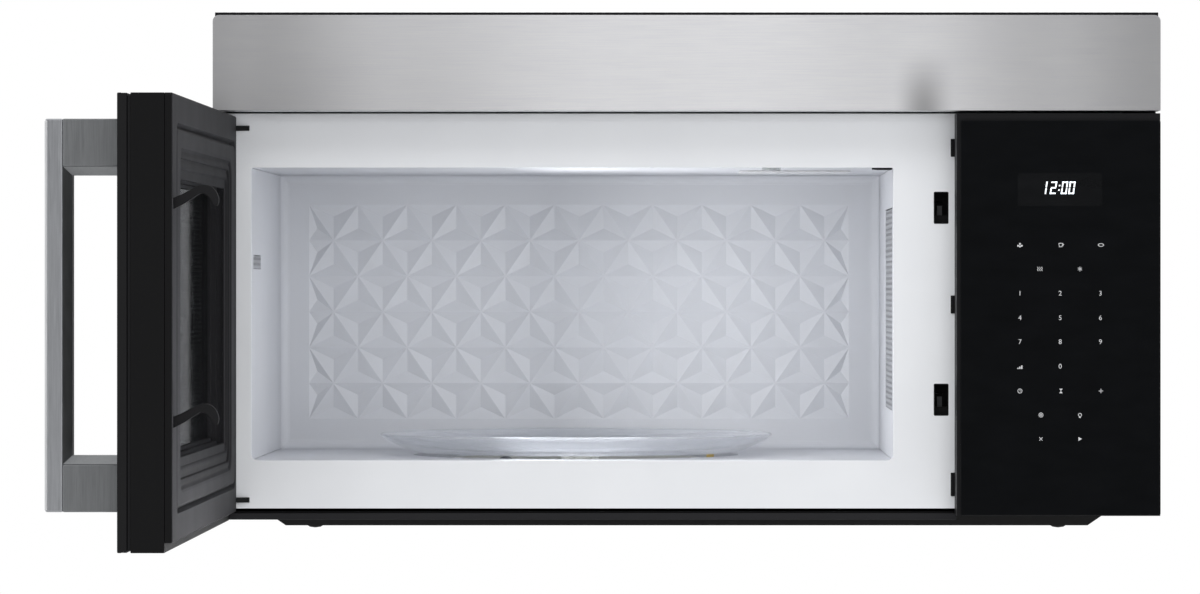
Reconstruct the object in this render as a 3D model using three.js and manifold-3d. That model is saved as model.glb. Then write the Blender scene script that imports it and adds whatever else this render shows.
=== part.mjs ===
// Over-the-range microwave oven, in millimetres, with +Z up.
// +X is to the right seen from the front, +Y runs into the wall, and the front faces -Y.
// The origin is on the rear face, on its centre line, half way up the front body.
// Inside this file heights are measured from the front body's bottom edge; the last group lowers them.
import * as THREE from "three";
import { mergeVertices } from "three/addons/utils/BufferGeometryUtils.js";
import Module from "manifold-3d";

const wasm = await Module();
wasm.setup();

// ---- Driving dimensions -----------------------------------------------------------------------------

const WIDTH = 759;
const DEPTH = 405;
const HEIGHT = 403.3;
const SHEET = 1.0; // steel sheet
const REAR_SHEET = 1.5; // the panel that carries the oven on the wall
const FIT = 0.3; // gap between pieces that touch
const RUN = 0.6; // gap round pieces that move
const FRONT_DEPTH = 41; // from the front of the body back to the front frame

const Y_FRONT = -DEPTH;
const Y_FRAME = Y_FRONT + FRONT_DEPTH;
const Y_BEHIND_FRAME = Y_FRAME + SHEET + FIT;
const Y_INNER_REAR = -REAR_SHEET - FIT;
const HALF = WIDTH / 2;

const wrap = { inset: 0.6, top: HEIGHT - 0.5, bottom: 2.4 };
const wrapHalf = HALF - wrap.inset;

const panel = { width: 163.1, top: 322.6, wall: 2.5, glass: 2.7, glassInset: 2.8, glassTop: 317 };
panel.left = HALF - panel.width;
panel.glassLeft = panel.left + panel.glassInset;

const frame = { left: 1.5 - HALF, right: panel.left + 1.3, bottom: 4.6, top: 323.5, lip: 18 };
const cavity = { leftStile: 26.5, rightStile: 50.9, floor: 43.4, ceiling: 279.8, rearGap: 19 };
cavity.left = frame.left + cavity.leftStile;
cavity.right = frame.right - cavity.rightStile;
cavity.depth = DEPTH - FRONT_DEPTH - cavity.rearGap;
const cavityRear = Y_FRAME + cavity.depth;
const cavityMidX = (cavity.left + cavity.right) / 2;
const cavityMidY = (Y_FRAME + cavityRear) / 2;

const grille = { bottom: 324.7, face: 1.5, blackEdge: 2.1, returnDepth: 36, slots: 26, slotRib: 5 };
const display = { left: panel.left + 48.8, width: 67.3, bottom: 248.2, top: 274.6 };
display.right = display.left + display.width;

const door = {
  left: -HALF, right: panel.left - 1.4, bottom: -4.9, top: 320.9, thickness: 39.3, wall: 3,
  slab: 7, slabInset: 1.2, cover: 5.5, coverBottom: 2, corner: 3,
  windowLeft: cavity.left + 32.5, windowRight: cavity.right - 31.8, windowBottom: 48.6, windowTop: 272.6,
};
const hinge = { x: door.left + 7.3, depth: 30.5, pin: 3, boss: 4.6, plate: 3, pinLength: 12, tongue: 23.7 };
const hingeHeights = [{ name: "hinge_upper", z: 311.6, way: -1 }, { name: "hinge_lower", z: 11.4, way: 1 }];
const hingeSlot = { left: frame.left + 1, right: cavity.left - SHEET, height: 4.2 };
const DOOR_OPEN = THREE.MathUtils.degToRad(-90); // the pose at rest

const latch = {
  x: door.right - 9.5, thick: 5, reach: 32, spacing: 155, travel: 5, rootBottom: 238.4, rootTop: 247.4,
};
const latchSlot = { left: latch.x - 5.9, right: latch.x + 6, bottom: 234.4, top: 260.3 };
const handle = {
  bottom: 22.8, top: 303.3, reach: 55, bar: 13.2, arm: 34, bevel: 6.2, fromEdge: 35, width: 24,
};

const tray = { radius: 163.5, top: 61.6, thick: 4, foot: 122 };
const roller = { radius: 7, width: 7, orbit: 112, count: 3 };
const track = { radius: 136, depth: 13 };
const coupler = { radius: 13, shaft: 4 };

const pan = { side: 38.5, bottom: -10.4, front: 60, rear: 14, slope: 15, flange: wrap.bottom - FIT - SHEET };
pan.topHalf = HALF - pan.side;
pan.bottomHalf = pan.topHalf - pan.slope;
const foot = { x: pan.bottomHalf - 23, radius: 7.5, height: 2.6 };
const filter = { width: 268, depth: 150, thick: 8, x: 163, y: -206 };
const lamp = { width: 150, depth: 40, thick: 3, y: Y_FRONT + 98 };

const bay = { left: cavity.right + SHEET + FIT, right: wrapHalf - SHEET - FIT, floor: 30 };
const exhaust = { half: 127, front: -105, rear: -21 };
const blower = {
  y: -70, wheel: 42, wheelWidth: 56, scroll: 50, from: 45, to: 125, wall: 2, shaft: 4, inlet: 34,
};
const guide = { left: bay.left - 128.6, front: -240, rear: -155, height: 36, mouth: 76, lip: 12 };
guide.right = guide.left + 228;
guide.mouthLeft = guide.left + guide.lip;
guide.mouthRight = guide.mouthLeft + guide.mouth;
const magnetron = { x: bay.left + 53.4, width: 86, depth: 74, height: 66, antenna: 15 };
const fan = { size: 108, depth: 24, y: -134, z: 236, radius: 46, shaft: 3 };
const transformer = { x: bay.right - 59.1, y: -82, width: 92, depth: 74, height: 78 };
const capacitor = { x: bay.right - 59.1, y: -208, width: 54, depth: 34, height: 96 };
const board = {
  left: panel.left + 17.6, right: HALF - 17.5, bottom: 58, top: 300, thick: 1.6, y: Y_FRONT + 20.3,
};

// ---- Geometry helpers -------------------------------------------------------------------------------

// A closed three.js geometry as a solid that can be joined and cut.
function toSolid(geometry) {
  const plain = geometry.index ? geometry.toNonIndexed() : geometry.clone();
  plain.deleteAttribute("normal");
  plain.deleteAttribute("uv");
  const merged = mergeVertices(plain, 1e-4);
  const vertProperties = merged.attributes.position.array;
  const triVerts = new Uint32Array(merged.index.array);
  return new wasm.Manifold(new wasm.Mesh({ numProp: 3, vertProperties, triVerts }));
}

function toGeometry(solid) {
  const { vertProperties, triVerts } = solid.getMesh();
  const geometry = new THREE.BufferGeometry();
  geometry.setAttribute("position", new THREE.BufferAttribute(vertProperties, 3));
  geometry.setIndex(new THREE.BufferAttribute(triVerts, 1));
  geometry.computeVertexNormals();
  return geometry;
}

const join = (...solids) => solids.reduce((all, next) => all.add(next));
const cut = (body, ...tools) => tools.reduce((left, tool) => left.subtract(tool), body);

// A box from its [low, high] span along each axis.
function block([x0, x1], [y0, y1], [z0, z1]) {
  const geometry = new THREE.BoxGeometry(x1 - x0, y1 - y0, z1 - z0);
  return toSolid(geometry.translate((x0 + x1) / 2, (y0 + y1) / 2, (z0 + z1) / 2));
}

// For an extrusion along an axis: where the outline's two directions and the extrusion point.
const BASES = {
  x: [new THREE.Vector3(0, 1, 0), new THREE.Vector3(0, 0, 1), new THREE.Vector3(1, 0, 0)],
  y: [new THREE.Vector3(1, 0, 0), new THREE.Vector3(0, 0, 1), new THREE.Vector3(0, -1, 0)],
  z: [new THREE.Vector3(1, 0, 0), new THREE.Vector3(0, 1, 0), new THREE.Vector3(0, 0, 1)],
};

// A shape extruded along an axis. The outline is in (y, z), (x, z) or (x, y) for the axis x, y or z.
function prism(shape, axis, [low, high], curveSegments = 8) {
  const options = { depth: high - low, bevelEnabled: false, curveSegments };
  const geometry = new THREE.ExtrudeGeometry(shape, options);
  geometry.applyMatrix4(new THREE.Matrix4().makeBasis(...BASES[axis]));
  const start = axis === "y" ? high : low;
  const shift = new THREE.Vector3().setComponent("xyz".indexOf(axis), start);
  return toSolid(geometry.translate(shift.x, shift.y, shift.z));
}

const outline = (points) => new THREE.Shape(points.map(([u, v]) => new THREE.Vector2(u, v)));

// A round bar along an axis, centred on (u, v) in the plane square to it.
function rod(axis, radius, [u, v], span, segments = 24) {
  const circle = new THREE.Shape().absarc(u, v, radius, 0, 2 * Math.PI);
  return prism(circle, axis, span, segments / 2);
}

// A body of revolution about +Z from (radius, height) points, listed counter-clockwise.
function turned(points, segments = 48) {
  const profile = points.map(([r, z]) => new THREE.Vector2(r, z));
  return toSolid(new THREE.LatheGeometry(profile, segments).rotateX(Math.PI / 2));
}

// A rectangle in x and y at one height that changes evenly into another at a second height.
function hopper(z0, [[ax0, ax1], [ay0, ay1]], z1, [[bx0, bx1], [by0, by1]]) {
  const geometry = new THREE.BoxGeometry(1, 1, 1);
  const corner = geometry.attributes.position;
  for (let i = 0; i < corner.count; i++) {
    const isTop = corner.getZ(i) > 0;
    const xs = isTop ? [bx0, bx1] : [ax0, ax1];
    const ys = isTop ? [by0, by1] : [ay0, ay1];
    corner.setXYZ(i, xs[corner.getX(i) > 0 ? 1 : 0], ys[corner.getY(i) > 0 ? 1 : 0], isTop ? z1 : z0);
  }
  return toSolid(geometry);
}

const range = (count) => Array.from({ length: count }, (_, i) => i);

// ---- Materials --------------------------------------------------------------------------------------

const finish = (color, roughness, metalness, more = {}) =>
  new THREE.MeshStandardMaterial({ color, roughness, metalness, ...more });

const stainless = finish(0xc9cacd, 0.32, 1);
const galvanised = finish(0xb4b8bb, 0.45, 0.9);
const enamel = finish(0xe6e7ea, 0.35, 0);
const cavityEnamel = finish(0xb9bbc1, 0.4, 0);
const blackPlastic = finish(0x1b1b1d, 0.45, 0);
const darkPaint = finish(0x2e2f31, 0.5, 0);
const blackGlass = finish(0x101214, 0.06, 0);
const clearGlass = finish(0xdfe9ea, 0.05, 0, { transparent: true, opacity: 0.35 });
const tintedGlass = finish(0x15171a, 0.08, 0, { transparent: true, opacity: 0.6 });
const greyPlastic = finish(0x9b9b98, 0.5, 0);
const boardGreen = finish(0x2c5a3a, 0.6, 0);
const aluminium = finish(0xc3c6c9, 0.4, 1);
const carbon = finish(0x222222, 0.9, 0);
const copper = finish(0xa5673a, 0.4, 0.8);
const mica = finish(0xbfb59a, 0.6, 0);
const displayBlack = finish(0x0c0e10, 0.2, 0);

function piece(name, solid, material) {
  const mesh = new THREE.Mesh(toGeometry(solid), material);
  mesh.name = name;
  return mesh;
}

function placed(mesh, x, y, z) {
  mesh.position.set(x, y, z);
  return mesh;
}

// ---- Casing -----------------------------------------------------------------------------------------

function outerWrap() {
  const y = [Y_BEHIND_FRAME, Y_INNER_REAR];
  const outer = block([-wrapHalf, wrapHalf], y, [wrap.bottom, wrap.top]);
  const inner = block([SHEET - wrapHalf, wrapHalf - SHEET], [y[0] - 1, y[1] + 1], [0, wrap.top - SHEET]);
  const outlet = block([-exhaust.half, exhaust.half], [exhaust.front, exhaust.rear], [HEIGHT - 9, HEIGHT]);
  return piece("outer_wrap", cut(outer, inner, outlet), darkPaint);
}

function rearPanel() {
  const hook = { width: 34, height: 10, x: 290, z: 34 };
  const gland = { x: 330, z: 372, radius: 9 };
  const slots = [-1, 1].map((side) =>
    block([side * hook.x - hook.width / 2, side * hook.x + hook.width / 2], [-REAR_SHEET - 1, 1],
      [hook.z, hook.z + hook.height]));
  const plate = block([-wrapHalf, wrapHalf], [-REAR_SHEET, 0], [wrap.bottom, wrap.top]);
  const hole = rod("y", gland.radius + FIT, [gland.x, gland.z], [-REAR_SHEET - 1, 1]);
  const rear = piece("rear_panel", cut(plate, ...slots, hole), galvanised);
  const collar = rod("y", gland.radius + 3, [gland.x, gland.z], [Y_INNER_REAR - 4, Y_INNER_REAR]);
  const neck = rod("y", gland.radius, [gland.x, gland.z], [Y_INNER_REAR - 4, -FIT]);
  const bore = rod("y", 4.5, [gland.x, gland.z], [-20, 20], 16);
  return [rear, piece("cord_gland", cut(join(collar, neck), bore), blackPlastic)];
}

function frontFrame() {
  const plate = block([frame.left, frame.right], [Y_FRAME, Y_FRAME + SHEET], [frame.bottom, frame.top]);
  const topLip = block(
    [frame.left, frame.right], [Y_FRAME, Y_FRAME + frame.lip], [frame.top - SHEET, frame.top]);
  const mouth = block([cavity.left, cavity.right], [Y_FRAME - 1, Y_FRAME + 9], [cavity.floor, cavity.ceiling]);
  const latchHoles = [0, latch.spacing].map((drop) =>
    block([latchSlot.left, latchSlot.right], [Y_FRAME - 1, Y_FRAME + 9],
      [latchSlot.bottom - drop, latchSlot.top - drop]));
  const hingeHoles = hingeHeights.map(({ z }) =>
    block([hingeSlot.left, hingeSlot.right], [Y_FRAME - 1, Y_FRAME + 9],
      [z - hingeSlot.height / 2, z + hingeSlot.height / 2]));
  const wrapRelief = block([-HALF, -wrapHalf + SHEET + FIT], [Y_BEHIND_FRAME - FIT, 0], [0, HEIGHT]);
  const body = cut(join(plate, topLip), mouth, ...latchHoles, ...hingeHoles, wrapRelief);
  return piece("front_frame", body, enamel);
}

function lowerFrontRail() {
  const top = frame.bottom - FIT;
  const face = block([frame.left, frame.right], [Y_FRAME, Y_FRAME + SHEET], [door.bottom + 0.4, top]);
  const foldBack = block([frame.left, frame.right], [Y_FRAME, Y_FRAME + 16],
    [door.bottom + 0.4, door.bottom + 0.4 + SHEET]);
  return piece("lower_front_rail", join(face, foldBack), blackPlastic);
}

// The tray-shaped underside, with its filter openings, lamp window and domed feet.
function basePan() {
  const front = Y_FRONT + pan.front;
  const tray = (grow, z0, z1) => hopper(
    z0, [[-pan.bottomHalf - grow, pan.bottomHalf + grow], [front + pan.slope - grow, -pan.rear - pan.slope + grow]],
    z1, [[-pan.topHalf - grow, pan.topHalf + grow], [front - grow, -pan.rear + grow]]);
  const flangeTop = pan.flange + SHEET;
  const flange = block([-wrapHalf, wrapHalf], [Y_BEHIND_FRAME, -REAR_SHEET], [pan.flange, flangeTop]);
  const shell = cut(
    join(flange, tray(0, pan.bottom, pan.flange + 0.01)),
    tray(-SHEET, pan.bottom + SHEET, flangeTop + 0.01));
  const y = [filter.y - filter.depth / 2, filter.y + filter.depth / 2];
  const openings = [-1, 1].map((side) => block(
    [side * filter.x - filter.width / 2, side * filter.x + filter.width / 2], y, [-20, 0]));
  const window = block(
    [-lamp.width / 2, lamp.width / 2], [lamp.y - lamp.depth / 2, lamp.y + lamp.depth / 2], [-20, 0]);
  const dome = turned(
    [[0, -foot.height], [foot.radius * 0.6, -foot.height * 0.75], [foot.radius, 0], [0, 0]], 16);
  const feet = [-1, 1].flatMap((side) => [front + 32, -pan.rear - 32].map((at) =>
    dome.translate([side * foot.x, at, pan.bottom + 0.2])));
  return piece("base_pan", join(cut(shell, ...openings, window), ...feet), darkPaint);
}

function bayFloor() {
  const y = [Y_BEHIND_FRAME, Y_INNER_REAR];
  const plate = block([bay.left, bay.right], y, [bay.floor - SHEET, bay.floor]);
  const leftFlange = block([bay.left, bay.left + SHEET], y, [bay.floor - SHEET, bay.floor + 24]);
  const rightFlange = block([bay.right - SHEET, bay.right], y, [bay.floor - SHEET, bay.floor + 12]);
  return piece("bay_floor_plate", join(plate, leftFlange, rightFlange), galvanised);
}

// ---- Cavity -----------------------------------------------------------------------------------------

function cavityPanels() {
  const y = [Y_BEHIND_FRAME, cavityRear];
  const wide = [cavity.left - SHEET, cavity.right + SHEET];
  const between = [cavity.floor + FIT, cavity.ceiling - FIT];
  const mouth = block([guide.mouthLeft, guide.mouthRight], [guide.front + 5, guide.rear - 5],
    [cavity.ceiling - 5, cavity.ceiling + 5]);
  const ceiling = cut(block(wide, y, [cavity.ceiling, cavity.ceiling + SHEET]), mouth);
  const floorPlate = cut(
    block(wide, y, [cavity.floor - SHEET, cavity.floor]),
    rod("z", track.radius, [cavityMidX, cavityMidY], [0, 90], 48));
  const low = cavity.floor - track.depth;
  const hole = coupler.shaft + RUN;
  const dish = turned([
    [hole, low - SHEET], [track.radius + SHEET, low - SHEET], [track.radius + SHEET, cavity.floor],
    [track.radius, cavity.floor], [track.radius, low], [hole, low], [hole, low - SHEET],
  ]).translate([cavityMidX, cavityMidY, 0]);
  return [
    piece("cavity_ceiling", ceiling, cavityEnamel),
    piece("cavity_floor", join(floorPlate, dish), cavityEnamel),
    piece("cavity_left_wall", block([wide[0], cavity.left], y, between), cavityEnamel),
    piece("cavity_right_wall", block([cavity.right, wide[1]], y, between), cavityEnamel),
    piece("cavity_back_wall", block(wide, [cavityRear + FIT, cavityRear + FIT + SHEET],
      [cavity.floor - SHEET, cavity.ceiling + SHEET]), cavityEnamel),
  ];
}

const guideBottom = cavity.ceiling + SHEET + FIT;

function waveguide() {
  const box = block(
    [guide.left, guide.right], [guide.front, guide.rear], [guideBottom, guideBottom + guide.height]);
  const hollow = block([guide.left + SHEET, guide.right - SHEET], [guide.front + SHEET, guide.rear - SHEET],
    [guideBottom + SHEET, guideBottom + guide.height - SHEET]);
  const mouth = block([guide.mouthLeft, guide.mouthRight], [guide.front + 5, guide.rear - 5],
    [guideBottom - 1, guideBottom + 5]);
  const antennaHole = rod("z", magnetron.antenna + 2, [magnetron.x, (guide.front + guide.rear) / 2],
    [guideBottom - 1, guideBottom + 5]);
  const cover = block([guide.mouthLeft - 8, guide.mouthRight + 8], [guide.front - 3, guide.rear + 3],
    [cavity.ceiling - FIT - 0.9, cavity.ceiling - FIT]);
  return [piece("waveguide", cut(box, hollow, mouth, antennaHole), galvanised),
    piece("waveguide_cover", cover, mica)];
}

// ---- Electrical parts in the right bay --------------------------------------------------------------

function magnetronTube() {
  const half = magnetron.width / 2;
  const deep = magnetron.depth / 2;
  const plates = [[0, 3], [magnetron.height - 3, magnetron.height]].map((z) =>
    block([-half, half], [-deep, deep], z));
  const sides = [-1, 1].map((side) =>
    block([side > 0 ? half - 3 : -half, side > 0 ? half : 3 - half], [-deep, deep], [0, magnetron.height]));
  const fins = range(4).map((i) => block([-half, half], [8 - deep, deep - 8], [13 + 12 * i, 14.2 + 12 * i]));
  const core = rod("z", 19, [0, 0], [1, magnetron.height - 1]);
  const antennaEdge = [[0, 0], [magnetron.antenna, 0], [magnetron.antenna, 8], [8, 12], [8, 26], [0, 28]];
  const antenna = turned(antennaEdge, 24)
    .translate([0, 0, magnetron.height - 0.1]);
  const terminalBox = block([-28, 28], [-20, 20], [-34, 0.1]);
  const tube = piece("magnetron", join(...plates, ...sides, ...fins, core, antenna, terminalBox), aluminium);
  return placed(tube, magnetron.x, (guide.front + guide.rear) / 2, guideBottom - FIT - magnetron.height);
}

function coolingFan() {
  const half = fan.size / 2;
  const ring = cut(
    block([-half, half], [0, fan.depth], [-half, half]),
    rod("y", fan.radius + 3, [0, 0], [-1, fan.depth - SHEET], 32),
    rod("y", fan.radius - 8, [0, 0], [-1, fan.depth + 1], 32));
  const spokes = [[[-half, half], [-5, 5]], [[-5, 5], [-half, half]]].map(([x, z]) =>
    block(x, [fan.depth - 3, fan.depth], z));
  const bearing = rod("y", 12, [0, 0], [fan.depth - 3, fan.depth]);
  const bore = rod("y", fan.shaft + FIT, [0, 0], [-1, fan.depth + 60], 16);
  const housing = piece("magnetron_fan_housing", cut(join(ring, ...spokes, bearing), bore), blackPlastic);
  const blade = (i) => block([10, fan.radius], [-0.9, 0.9], [-9, 9])
    .rotate([0, 0, 0]).rotate([35, 0, 0]).rotate([0, i * 60, 0]).translate([0, 10, 0]);
  const hub = rod("y", 13, [0, 0], [3, 17]);
  const shaft = rod("y", fan.shaft, [0, 0], [3, fan.depth + 22], 16);
  const wheel = piece("magnetron_fan_wheel", join(hub, shaft, ...range(6).map(blade)), blackPlastic);
  const back = fan.depth + FIT;
  const motor = piece("magnetron_fan_motor", cut(
    join(block([-26, 26], [back, back + 14], [-20, 34]), rod("y", 15, [0, 0], [back, back + 24])),
    bore), galvanised);
  const group = new THREE.Group().add(housing, wheel, motor);
  return placed(group, bay.left + half, fan.y, fan.z);
}

function highVoltageParts() {
  const { width, depth, height } = transformer;
  const stack = cut(
    block([-width / 2, width / 2], [-depth / 2, depth / 2], [0, height]),
    ...[-1, 1].map((side) => block([side * 22 - 9, side * 22 + 9], [-depth, depth], [16, height - 16])));
  const winding = block([-28, 28], [-depth / 2 - 14, depth / 2 + 14], [18, height - 18]);
  const core = placed(piece("hv_transformer", join(stack, winding), copper), transformer.x, transformer.y,
    bay.floor + FIT);
  const flat = (capacitor.width - capacitor.depth) / 2;
  const can = new THREE.Shape().absarc(flat, 0, capacitor.depth / 2, -Math.PI / 2, Math.PI / 2)
    .absarc(-flat, 0, capacitor.depth / 2, Math.PI / 2, 1.5 * Math.PI);
  const terminals = [-1, 1].map((side) => block([side * 14 - 3, side * 14 + 3], [-0.6, 0.6],
    [capacitor.height - 1, capacitor.height + 11]));
  const store = piece("hv_capacitor", join(prism(can, "z", [0, capacitor.height]), ...terminals), aluminium);
  return [core, placed(store, capacitor.x, capacitor.y, bay.floor + FIT)];
}

// ---- Control panel ----------------------------------------------------------------------------------

function controlPanel() {
  const y = [Y_FRONT + panel.glass, Y_FRAME];
  const front = y[0] + panel.wall;
  const right = HALF - 0.1;
  const bosses = [board.left + 6, board.right - 6].flatMap((x) => [board.bottom + 8, board.top - 8].map((z) =>
    rod("y", 4, [x, z], [front - 0.1, board.y - FIT], 12)));
  const shell = cut(
    block([panel.left, right], y, [0, panel.top]),
    block([panel.left + panel.wall, right - panel.wall], [front, 0], [panel.wall, panel.top - panel.wall]));
  const window = block([display.left, display.right], [-DEPTH - 1, front + 1], [display.bottom, display.top]);
  const glass = block([panel.glassLeft, HALF], [Y_FRONT, y[0] - FIT], [0.5, panel.glassTop]);
  const inset = 3;
  const module = block([display.left + inset, display.right - inset], [y[0] + FIT, board.y - FIT],
    [display.bottom + inset, display.top - inset]);
  const plate = block([board.left, board.right], [board.y, board.y + board.thick], [board.bottom, board.top]);
  const relay = { size: 18, y: board.y + board.thick - 0.1 };
  const parts = [[16, 90], [56, 96], [96, 150], [28, 190]].map(([across, z]) =>
    block([board.left + across, board.left + across + relay.size], [relay.y, relay.y + 16],
      [z, z + relay.size + 6]));
  return [
    piece("control_bezel", join(cut(shell, window), ...bosses), blackPlastic),
    piece("control_glass", glass, blackGlass),
    piece("display_module", module, displayBlack),
    piece("control_board", join(plate, ...parts), boardGreen),
  ];
}

// ---- Vent grille and filters ------------------------------------------------------------------------

function ventGrille() {
  const top = HEIGHT - grille.blackEdge;
  const face = block([-HALF, HALF], [Y_FRONT, Y_FRONT + grille.face], [grille.bottom, top]);
  const back = Y_FRONT + grille.returnDepth;
  const bottom = block([-HALF, HALF], [Y_FRONT, back], [grille.bottom, grille.bottom + grille.face]);
  const sides = [[-HALF, grille.face - HALF], [HALF - grille.face, HALF]].map((x) =>
    block(x, [Y_FRONT, back], [grille.bottom, top]));
  return piece("vent_grille", join(face, bottom, ...sides), stainless);
}

const louver = {
  half: HALF - grille.face - FIT, front: Y_FRONT + grille.face + FIT, rear: Y_BEHIND_FRAME - 2 * FIT,
  bottom: grille.bottom + grille.face + FIT, wall: 2,
};

function louverFrame() {
  const { half, front, rear, bottom, wall } = louver;
  const shell = cut(
    block([-half, half], [front, rear], [bottom, HEIGHT]),
    block([wall - half, half - wall], [front + wall, rear + 1], [bottom + wall, HEIGHT - wall]));
  const pitch = (2 * half - 2 * grille.slotRib) / grille.slots;
  const slots = range(grille.slots).map((i) => {
    const x = -half + grille.slotRib + i * pitch;
    return block([x + grille.slotRib / 2, x + pitch - grille.slotRib / 2], [front + 4, rear - 8],
      [HEIGHT - wall - 1, HEIGHT + 1]);
  });
  return piece("grille_louver_frame", cut(shell, ...slots), blackPlastic);
}

function charcoalFilter() {
  const size = { half: 110, thick: 13, height: 62 };
  const z = louver.bottom + louver.wall + FIT;
  const body = block(
    [-size.half, size.half], [louver.rear - size.thick - 2, louver.rear - 2], [z, z + size.height]);
  return piece("charcoal_filter", body, carbon);
}

// ---- Blower -----------------------------------------------------------------------------------------

const blowerHeight = cavity.ceiling + SHEET + FIT + blower.scroll + blower.wall;

function scrollHousing(side, name) {
  const { from, to, wall, scroll, y } = blower;
  const x = side > 0 ? [from, to] : [-to, -from];
  const inner = [x[0] + wall, x[1] - wall];
  const top = wrap.top - SHEET - FIT;
  const chute = (grow, span, end) => block(span, [exhaust.front + 2 - grow, exhaust.rear - 2 + grow],
    [blowerHeight, end]);
  const outside = join(rod("x", scroll + wall, [y, blowerHeight], x, 40), chute(0, x, top));
  const inside = join(rod("x", scroll, [y, blowerHeight], inner, 40), chute(-wall, inner, top + 1));
  const inlets = rod("x", blower.inlet, [y, blowerHeight], [-200, 200], 32);
  return piece(name, cut(outside, inside, inlets), galvanised);
}

function blowerWheel(name) {
  const half = blower.wheelWidth / 2;
  const hub = rod("x", 10, [0, 0], [-half / 3, half / 3], 16);
  const disc = rod("x", blower.wheel, [0, 0], [-1, 1], 24);
  const blades = 12;
  const blade = (i) => block([-half, half], [blower.wheel - 9, blower.wheel - 1], [-0.8, 0.8])
    .rotate([(i * 360) / blades, 0, 0]);
  const ring = (at) => cut(rod("x", blower.wheel, [0, 0], [at - 1.5, at + 1.5], 24),
    rod("x", blower.wheel - 8, [0, 0], [at - 2, at + 2], 24));
  const bore = rod("x", blower.shaft + FIT, [0, 0], [-half, half], 16);
  return piece(name, cut(join(hub, disc, ring(1.5 - half), ring(half - 1.5), ...range(blades).map(blade)), bore),
    blackPlastic);
}

function blowerSet() {
  const motorHalf = blower.from - 12;
  const can = rod("x", 40, [0, 0], [-motorHalf, motorHalf], 32);
  const feet = [-1, 1].flatMap((side) => [-1, 1].map((up) =>
    block(side > 0 ? [motorHalf - 4, blower.from - FIT] : [FIT - blower.from, 4 - motorHalf], [-6, 6],
      up > 0 ? [blower.inlet - 2, blower.inlet + 10] : [-blower.inlet - 10, 2 - blower.inlet])));
  const webs = [-1, 1].map((side) => block(side > 0 ? [motorHalf - 4, motorHalf] : [-motorHalf, 4 - motorHalf],
    [-6, 6], [-blower.inlet - 10, blower.inlet + 10]));
  const motor = piece("blower_motor", cut(join(can, ...webs, ...feet),
    rod("x", blower.shaft + FIT, [0, 0], [-90, 90], 16)), galvanised);
  const middle = (blower.from + blower.to) / 2;
  const shaft = piece("blower_shaft", rod("x", blower.shaft, [0, 0], [-middle - 30, middle + 30], 16), galvanised);
  const rotor = new THREE.Group().add(motor, shaft,
    placed(blowerWheel("blower_wheel_left"), -middle, 0, 0), placed(blowerWheel("blower_wheel_right"), middle, 0, 0));
  return [placed(rotor, 0, blower.y, blowerHeight),
    scrollHousing(-1, "blower_housing_left"), scrollHousing(1, "blower_housing_right")];
}

// ---- Underside pieces -------------------------------------------------------------------------------

function greaseFilter(side, name) {
  const half = [filter.width / 2 - RUN, filter.depth / 2 - RUN];
  const rim = 9;
  const slab = block([-half[0], half[0]], [-half[1], half[1]], [0, filter.thick]);
  const recess = (z) => block([rim - half[0], half[0] - rim], [rim - half[1], half[1] - rim], z);
  const solid = cut(slab, recess([-1, 2.5]), recess([filter.thick - 2.5, filter.thick + 1]));
  return placed(piece(name, solid, aluminium), side * filter.x, filter.y, pan.bottom);
}

function cooktopLamp() {
  const half = lamp.width / 2 - RUN;
  const deep = lamp.depth / 2 - RUN;
  const cover = join(
    block([-half, half], [-deep, deep - 4], [0, lamp.thick]),
    rod("x", 2.5, [deep - 2.6, 2.5], [-half, half], 16),
    block([-half, half], [deep - 6, deep - 2.6], [0, lamp.thick]));
  const lampFloor = pan.bottom + SHEET + FIT;
  const socket = block([-26, 8], [lamp.depth / 2 + 1, lamp.depth / 2 + 20], [0, 24]);
  const arm = block([-24, -8], [-14, lamp.depth / 2 + 4], [21, 24]);
  const holder = block([-24, -8], [-12, 8], [12, 23]);
  const bulb = rod("x", 7, [-2, 16], [-8.1, 40], 20);
  return [
    placed(piece("cooktop_lamp_cover", cover, clearGlass), 0, lamp.y, pan.bottom),
    placed(piece("cooktop_lamp", join(socket, arm, holder, bulb), greyPlastic), 0, lamp.y, lampFloor),
  ];
}

// ---- Turntable --------------------------------------------------------------------------------------

const trackTop = cavity.floor - track.depth;
const rollerMid = trackTop + FIT + roller.radius;
const trayBottom = rollerMid + roller.radius + FIT;
const couplerTop = trayBottom - FIT;

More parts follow.
